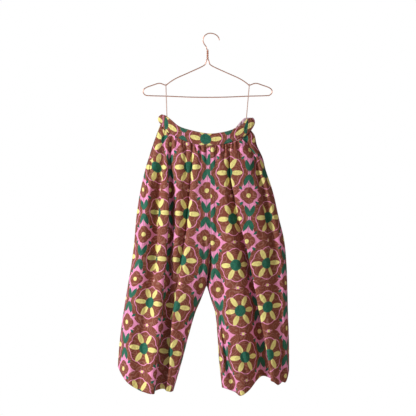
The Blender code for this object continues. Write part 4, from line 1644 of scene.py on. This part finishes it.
def cotton_sheet(context, name, node, rows, places, wall, face, materials, rests_on, cut):
    """A sheet of the printed cotton in the place of a node, which it hides. The flat size that it is cut
    to is not used.
    """
    piece = cloth(context, name, rows, places, wall, Vector((0, face, 0)), materials)
    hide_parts(node)
    return piece


def panel_with_pocket(name, panel):
    """The points of a leg panel, and those of the facing behind a front panel's pocket."""
    rows, columns = panel_points(name, panel)
    places = panel_threads(name, panel, rows)
    if panel.face > 0:
        return rows, places, None, None
    openings = [opening_length(row, column) for row, column in zip(rows, columns)]
    end_z = max(row[0].z for row, opening in zip(rows, openings) if opening == 0)
    tapered = [POCKET_TAPER * max(0.0, row[0].z - end_z) for row in rows]
    openings = [min(pair) for pair in zip(openings, tapered)]
    cut = cut_pocket(rows, rows, openings)
    cut_places = cut_pocket(rows, places, openings)
    facing = pocket_facing(panel, rows, cut, openings)
    across, down = FACING_PRINT_PLACE
    facing_places = [
        [(panel.side * length + across, down - depth) for length in lengths_along(line)]
        for line, depth in zip(facing, depths_down(facing))
    ]
    return cut, cut_places, facing, facing_places


def bend_hem(panel, rows, hem):
    """The turned-up hem stands out a little from the single cloth above it."""
    for k in range(len(rows[0])):
        for row in rows:
            rise = (row[k] - rows[-1][k]).length
            below_top = HEM_FOLD_REACH * hem - rise
            if below_top > 0:
                row[k].y += panel.face * HEM_FOLD * smooth_step(min(1.0, below_top / hem))


def band_threads(rows, fullness, shift):
    """Places of a waistband on the flat cloth, measured from the middle of its length."""
    depths = depths_down(rows)
    middle = lengths_along(rows[len(rows) // 2])
    crossings = [fullness * (length - middle[-1] / 2) + shift for length in middle]
    return [[(crossing, depths[-1] / 2 - depth) for crossing in crossings] for depth in depths]


# ---------------------------------------------------------------- stitches


def line_across(rows, drop, turn):
    """Points at a distance below the first row of a piece, with the outward directions there."""
    line, downs = [], []
    for k in range(len(rows[0])):
        column = [row[k] for row in rows]
        lengths = lengths_along(column)
        line.append(point_along(column, lengths, drop))
        downs.append(point_along(column, lengths, drop + STITCH_STEP) - line[-1])
    return with_normals(line, downs, turn)


def line_down(rows, inset, stop, turn):
    """Points at a distance in from the first column, down to a depth, with outward directions."""
    line, across = [], []
    depths = depths_down(rows)
    for row, depth in zip(rows, depths):
        if depth > stop:
            break
        lengths = lengths_along(row)
        line.append(point_along(row, lengths, inset))
        across.append(point_along(row, lengths, inset + STITCH_STEP) - line[-1])
    return with_normals(line, across, -turn)


def with_normals(line, others, turn):
    made = []
    for k, (point, other) in enumerate(zip(line, others)):
        along = span_at(line, k)
        made.append((point, along.cross(other).normalized() * turn))
    return made


def sew(shape, line, wall, thread, length, pitch):
    """Adds one stitch after another along a line on the cloth; sizes in millimetres."""
    points = [point for point, _ in line]
    lengths = lengths_along(points)
    place = pitch / 2
    while place < lengths[-1]:
        i = step_at(lengths, place)
        along = (points[i + 1] - points[i]).normalized()
        side = line[i][1].cross(along).normalized()
        outward = along.cross(side)
        middle = point_along(points, lengths, place) + outward * (wall / 2 + STITCH_RISE * thread)
        turn = Matrix((along * length / 2, side * thread / 2, outward * thread / 2)).transposed() * MM
        matrix = Matrix.Translation(middle * MM) @ turn.to_4x4()
        bmesh.ops.create_icosphere(shape, subdivisions=1, radius=1.0, matrix=matrix)
        place += pitch


def tack(shape, line, index, wall, thread):
    """A bar of close stitches across a line, where a seam takes strain."""
    point, outward = line[index]
    along = (line[index + 1][0] - point).normalized()
    side = outward.cross(along).normalized() * TACK_WIDTH
    for k in range(TACK_STITCHES):
        middle = point + along * (k - TACK_STITCHES / 2) * TACK_PITCH * thread
        bar = [(middle - side / 2, outward), (middle + side / 2, outward)]
        sew(shape, bar, wall, thread, TACK_WIDTH, TACK_WIDTH)


def stitching(context, name, shape):
    """One piece that holds the stitches of a seam."""
    mesh = drawn(name, shape)
    mesh.shade_smooth()
    piece = show(context, name, mesh, [thread_finish(context)])


# ---------------------------------------------------------------- hanger's wire


def with_round_ends(route, radius):
    """Adds points close to both ends, and the thickness at each, so that the wire ends in domes."""
    spots = [(share, max(DOME_LEAST, math.sqrt(1 - (1 - share) ** 2))) for share in DOME_SHARES]
    first, last = (route[1] - route[0]).normalized(), (route[-2] - route[-1]).normalized()
    start = [(route[0] + first * share * radius, thickness) for share, thickness in spots]
    end = [(route[-1] + last * share * radius, thickness) for share, thickness in reversed(spots)]
    return start + [(point, 1.0) for point in route[1:-1]] + end


def wire(context, name, route, thickness, material):
    """A tube of round wire along a route."""
    data = bpy.data.curves.new(name, "CURVE")
    data.dimensions = "3D"
    data.bevel_depth = thickness / 2
    data.bevel_resolution = 3
    data.use_fill_caps = True
    ended = with_round_ends(route, thickness / MM / 2)
    spline = data.splines.new("POLY")
    spline.points.add(len(ended) - 1)
    for point, (place, share) in zip(spline.points, ended):
        point.co = (*(place * MM), 1.0)
        point.radius = share
    spline.use_smooth = True
    return show(context, name, data, [material])


# ---------------------------------------------------------------- operators


class PANTS_OT_legs(bpy.types.Operator):
    """Build the four leg panels and the facings of the side pockets"""

    bl_idname = "pants.legs"
    bl_label = "Leg panels"

    def execute(self, context):
        size = context.scene.pants_cloth
        materials = both_sides(context, "printed cotton", "cotton reverse")
        sewing = {side: bmesh.new() for side in ("left", "right")}
        pockets = {side: bmesh.new() for side in ("left", "right")}
        wall, thread = size.wall / MM, size.thread / MM
        for name, panel in PANELS.items():
            side = name.split("_")[1]
            rows, places, facing, facing_places = panel_with_pocket(name, panel)
            bend_hem(panel, rows, size.hem / MM)
            made_of = (size.wall, panel.face, materials)
            grown = tucked_under(rows, places, panel)
            band = "waistband_front_cloth" if panel.face < 0 else "waistband_back_cloth"
            piece = cotton_sheet(
                context, "cloth_leg_" + name, "leg_" + name, *grown, *made_of, [band], cut_size(rows)
            )
            turn = -panel.side * panel.face
            hem_line = line_across(rows[::-1], size.hem / MM, -turn)
            sew(sewing[side], hem_line, wall, thread, size.stitch / MM, STITCH_PITCH)
            if facing:
                node = "pocket_facing_" + side
                sheet = (facing, facing_places, *made_of)
                cotton_sheet(context, "cloth_" + node, node, *sheet, [piece], cut_size(facing))
                edge = line_down(rows, POCKET_STITCH, POCKET_STITCH_STOP, turn)
                sew(pockets[side], edge, wall, thread, size.stitch / MM, STITCH_PITCH)
                for index in TACK_PLACES:
                    tack(pockets[side], edge, index, wall, thread)
        for side in ("left", "right"):
            stitching(context, "stitching_hem_" + side, sewing[side])
            stitching(context, "stitching_pocket_" + side, pockets[side])
        return {"FINISHED"}


class PANTS_OT_waistband(bpy.types.Operator):
    """Build the flat front waistband and the ruched back waistband"""

    bl_idname = "pants.waistband"
    bl_label = "Waistband"

    def execute(self, context):
        size = context.scene.pants_cloth
        materials = both_sides(context, "waistband cotton", "waistband reverse")
        loops = ["tape_loop_left", "tape_loop_right"]
        wall, thread = size.band_wall / MM, size.thread / MM
        bands = {
            "waistband_front": (front_band_rows(), 1.0, 0.0, -1, BAND_EDGE_STITCHES),
            "waistband_back": (back_band_rows(), RUCHE_FULLNESS, BACK_PRINT_SHIFT, 1, ELASTIC_STITCHES),
        }
        for name, (rows, fullness, shift, face, seams) in bands.items():
            sheet = (rows, band_threads(rows, fullness, shift), size.band_wall, face, materials)
            cotton_sheet(context, name + "_cloth", name, *sheet, loops, cut_size(rows, fullness))
            sewn = bmesh.new()
            for drop in seams:
                sew(sewn, line_across(rows, drop, -1), wall, thread, size.stitch / MM, STITCH_PITCH)
            stitching(context, "stitching_" + name, sewn)
        return {"FINISHED"}


class PANTS_OT_loops(bpy.types.Operator):
    """Build the two hanging loops"""

    bl_idname = "pants.loops"
    bl_label = "Hanging loops"

    def execute(self, context):
        widen = context.scene.pants_hanger.ribbon / MM / RIBBON_WIDTH
        material = tape_finish(context)
        for side, (notch_x, band_x) in LOOPS.items():
            rows = loop_rows(notch_x, band_x)
            for row in rows:
                middle = (row[0].x + row[-1].x) / 2
                for point in row:
                    point.x = middle + (point.x - middle) * widen
            depths = depths_down(rows)
            places = [
                [(point.x - row[0].x, depth) for point in row] for row, depth in zip(rows, depths)
            ]
            sheet = (rows, places, RIBBON_WALL * MM, Vector((0, -1, 0)), [material])
            piece = cloth(context, "tape_loop_" + side, *sheet, FIRST_FACES)
            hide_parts("hanging_loop_" + side)
        return {"FINISHED"}


class PANTS_OT_hanger(bpy.types.Operator):
    """Build the bent-wire hanger"""

    bl_idname = "pants.hanger"
    bl_label = "Wire hanger"

    def execute(self, context):
        thickness = context.scene.pants_hanger.wire
        piece = wire(context, "copper_wire", hanger_route(), thickness, copper_finish(context))
        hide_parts("hanger")
        return {"FINISHED"}


def area_light(context, name, place, size, power, colour):
    """A round soft light that is turned to the pants."""
    data = bpy.data.lights.new(name, "AREA")
    data.shape = "DISK"
    data.size = size
    data.energy = power
    data.color = colour
    lamp = placed(context, name, data)
    lamp.location = place
    lamp.rotation_euler = (Vector(LIGHT_AIM) - Vector(place)).to_track_quat("-Z", "Y").to_euler()


def surrounding_light(scene, strength):
    """Warm light from all round, and a white backdrop where the camera looks past the pants."""
    world = bpy.data.worlds.new("soft studio")
    scene.world = world
    world.use_nodes = True
    nodes, links = world.node_tree.nodes, world.node_tree.links
    around = nodes["Background"]
    around.inputs["Color"].default_value = SKY_COLOUR
    around.inputs["Strength"].default_value = strength
    backdrop = nodes.new("ShaderNodeBackground")
    backdrop.inputs["Color"].default_value = (1, 1, 1, 1)
    seen = nodes.new("ShaderNodeLightPath")
    choice = nodes.new("ShaderNodeMixShader")
    links.new(seen.outputs["Is Camera Ray"], choice.inputs["Fac"])
    links.new(around.outputs["Background"], choice.inputs[1])
    links.new(backdrop.outputs["Background"], choice.inputs[2])
    links.new(choice.outputs["Shader"], nodes["World Output"].inputs["Surface"])


class PANTS_OT_stage(bpy.types.Operator):
    """Set up the camera, the soft studio lights and the pale floor"""

    bl_idname = "pants.stage"
    bl_label = "Stage"

    def execute(self, context):
        stage = context.scene.pants_stage
        scene = context.scene
        data = bpy.data.cameras.new("camera")
        data.sensor_width = CAMERA_SENSOR
        data.lens = CAMERA_SENSOR * stage.distance / stage.view
        data.clip_end = CAMERA_REACH
        camera = placed(context, "camera", data)
        camera.location = (VIEW_CENTRE[0], -stage.distance, VIEW_CENTRE[1])
        camera.rotation_euler = (math.pi / 2, 0, 0)
        scene.camera = camera

        for name, place, size, role, colour in LIGHTS:
            power = stage.key if role == "key" else stage.fill
            area_light(context, name, place, size, power, colour)
        surrounding_light(scene, stage.sky)
        scene.view_settings.view_transform = "Standard"

        shape = bmesh.new()
        place = Matrix.Translation((0, 0, -stage.floor))
        bmesh.ops.create_circle(
            shape, cap_ends=True, segments=FLOOR_SIDES, radius=FLOOR_RADIUS, matrix=place
        )
        mesh = drawn("floor", shape)
        mesh.materials.append(floor_finish())
        floor = placed(context, "floor", mesh)
        return {"FINISHED"}


class PANTS_PT_panel(bpy.types.Panel):
    """Lists the pieces of the pants, and their sizes and colours"""

    bl_idname = "PANTS_PT_panel"
    bl_label = "Pants"
    bl_space_type = "VIEW_3D"
    bl_region_type = "UI"
    bl_category = "Pants"

    def draw(self, context):
        for operator in OPERATORS:
            self.layout.operator(operator.bl_idname)
        for name in GROUPS:
            group = getattr(context.scene, name)
            box = self.layout.box()
            for prop in group.bl_rna.properties:
                if prop.identifier not in ("rna_type", "name"):
                    box.prop(group, prop.identifier)


OPERATORS = (PANTS_OT_legs, PANTS_OT_waistband, PANTS_OT_loops, PANTS_OT_hanger, PANTS_OT_stage)
GROUPS = {
    "pants_cloth": PantsCloth,
    "pants_colours": PantsColours,
    "pants_hanger": PantsHanger,
    "pants_stage": PantsStage,
}


def register():
    for kind in (*GROUPS.values(), *OPERATORS, PANTS_PT_panel):
        bpy.utils.register_class(kind)
    for name, group in GROUPS.items():
        setattr(bpy.types.Scene, name, bpy.props.PointerProperty(type=group))


def unregister():
    for name in GROUPS:
        delattr(bpy.types.Scene, name)
    for kind in reversed((*GROUPS.values(), *OPERATORS, PANTS_PT_panel)):
        bpy.utils.unregister_class(kind)


def main():
    register()
    bpy.ops.pants.legs()
    bpy.ops.pants.waistband()
    bpy.ops.pants.loops()
    bpy.ops.pants.hanger()
    bpy.ops.pants.stage()
    bpy.context.view_layer.update()


if __name__ == "__main__":
    main()
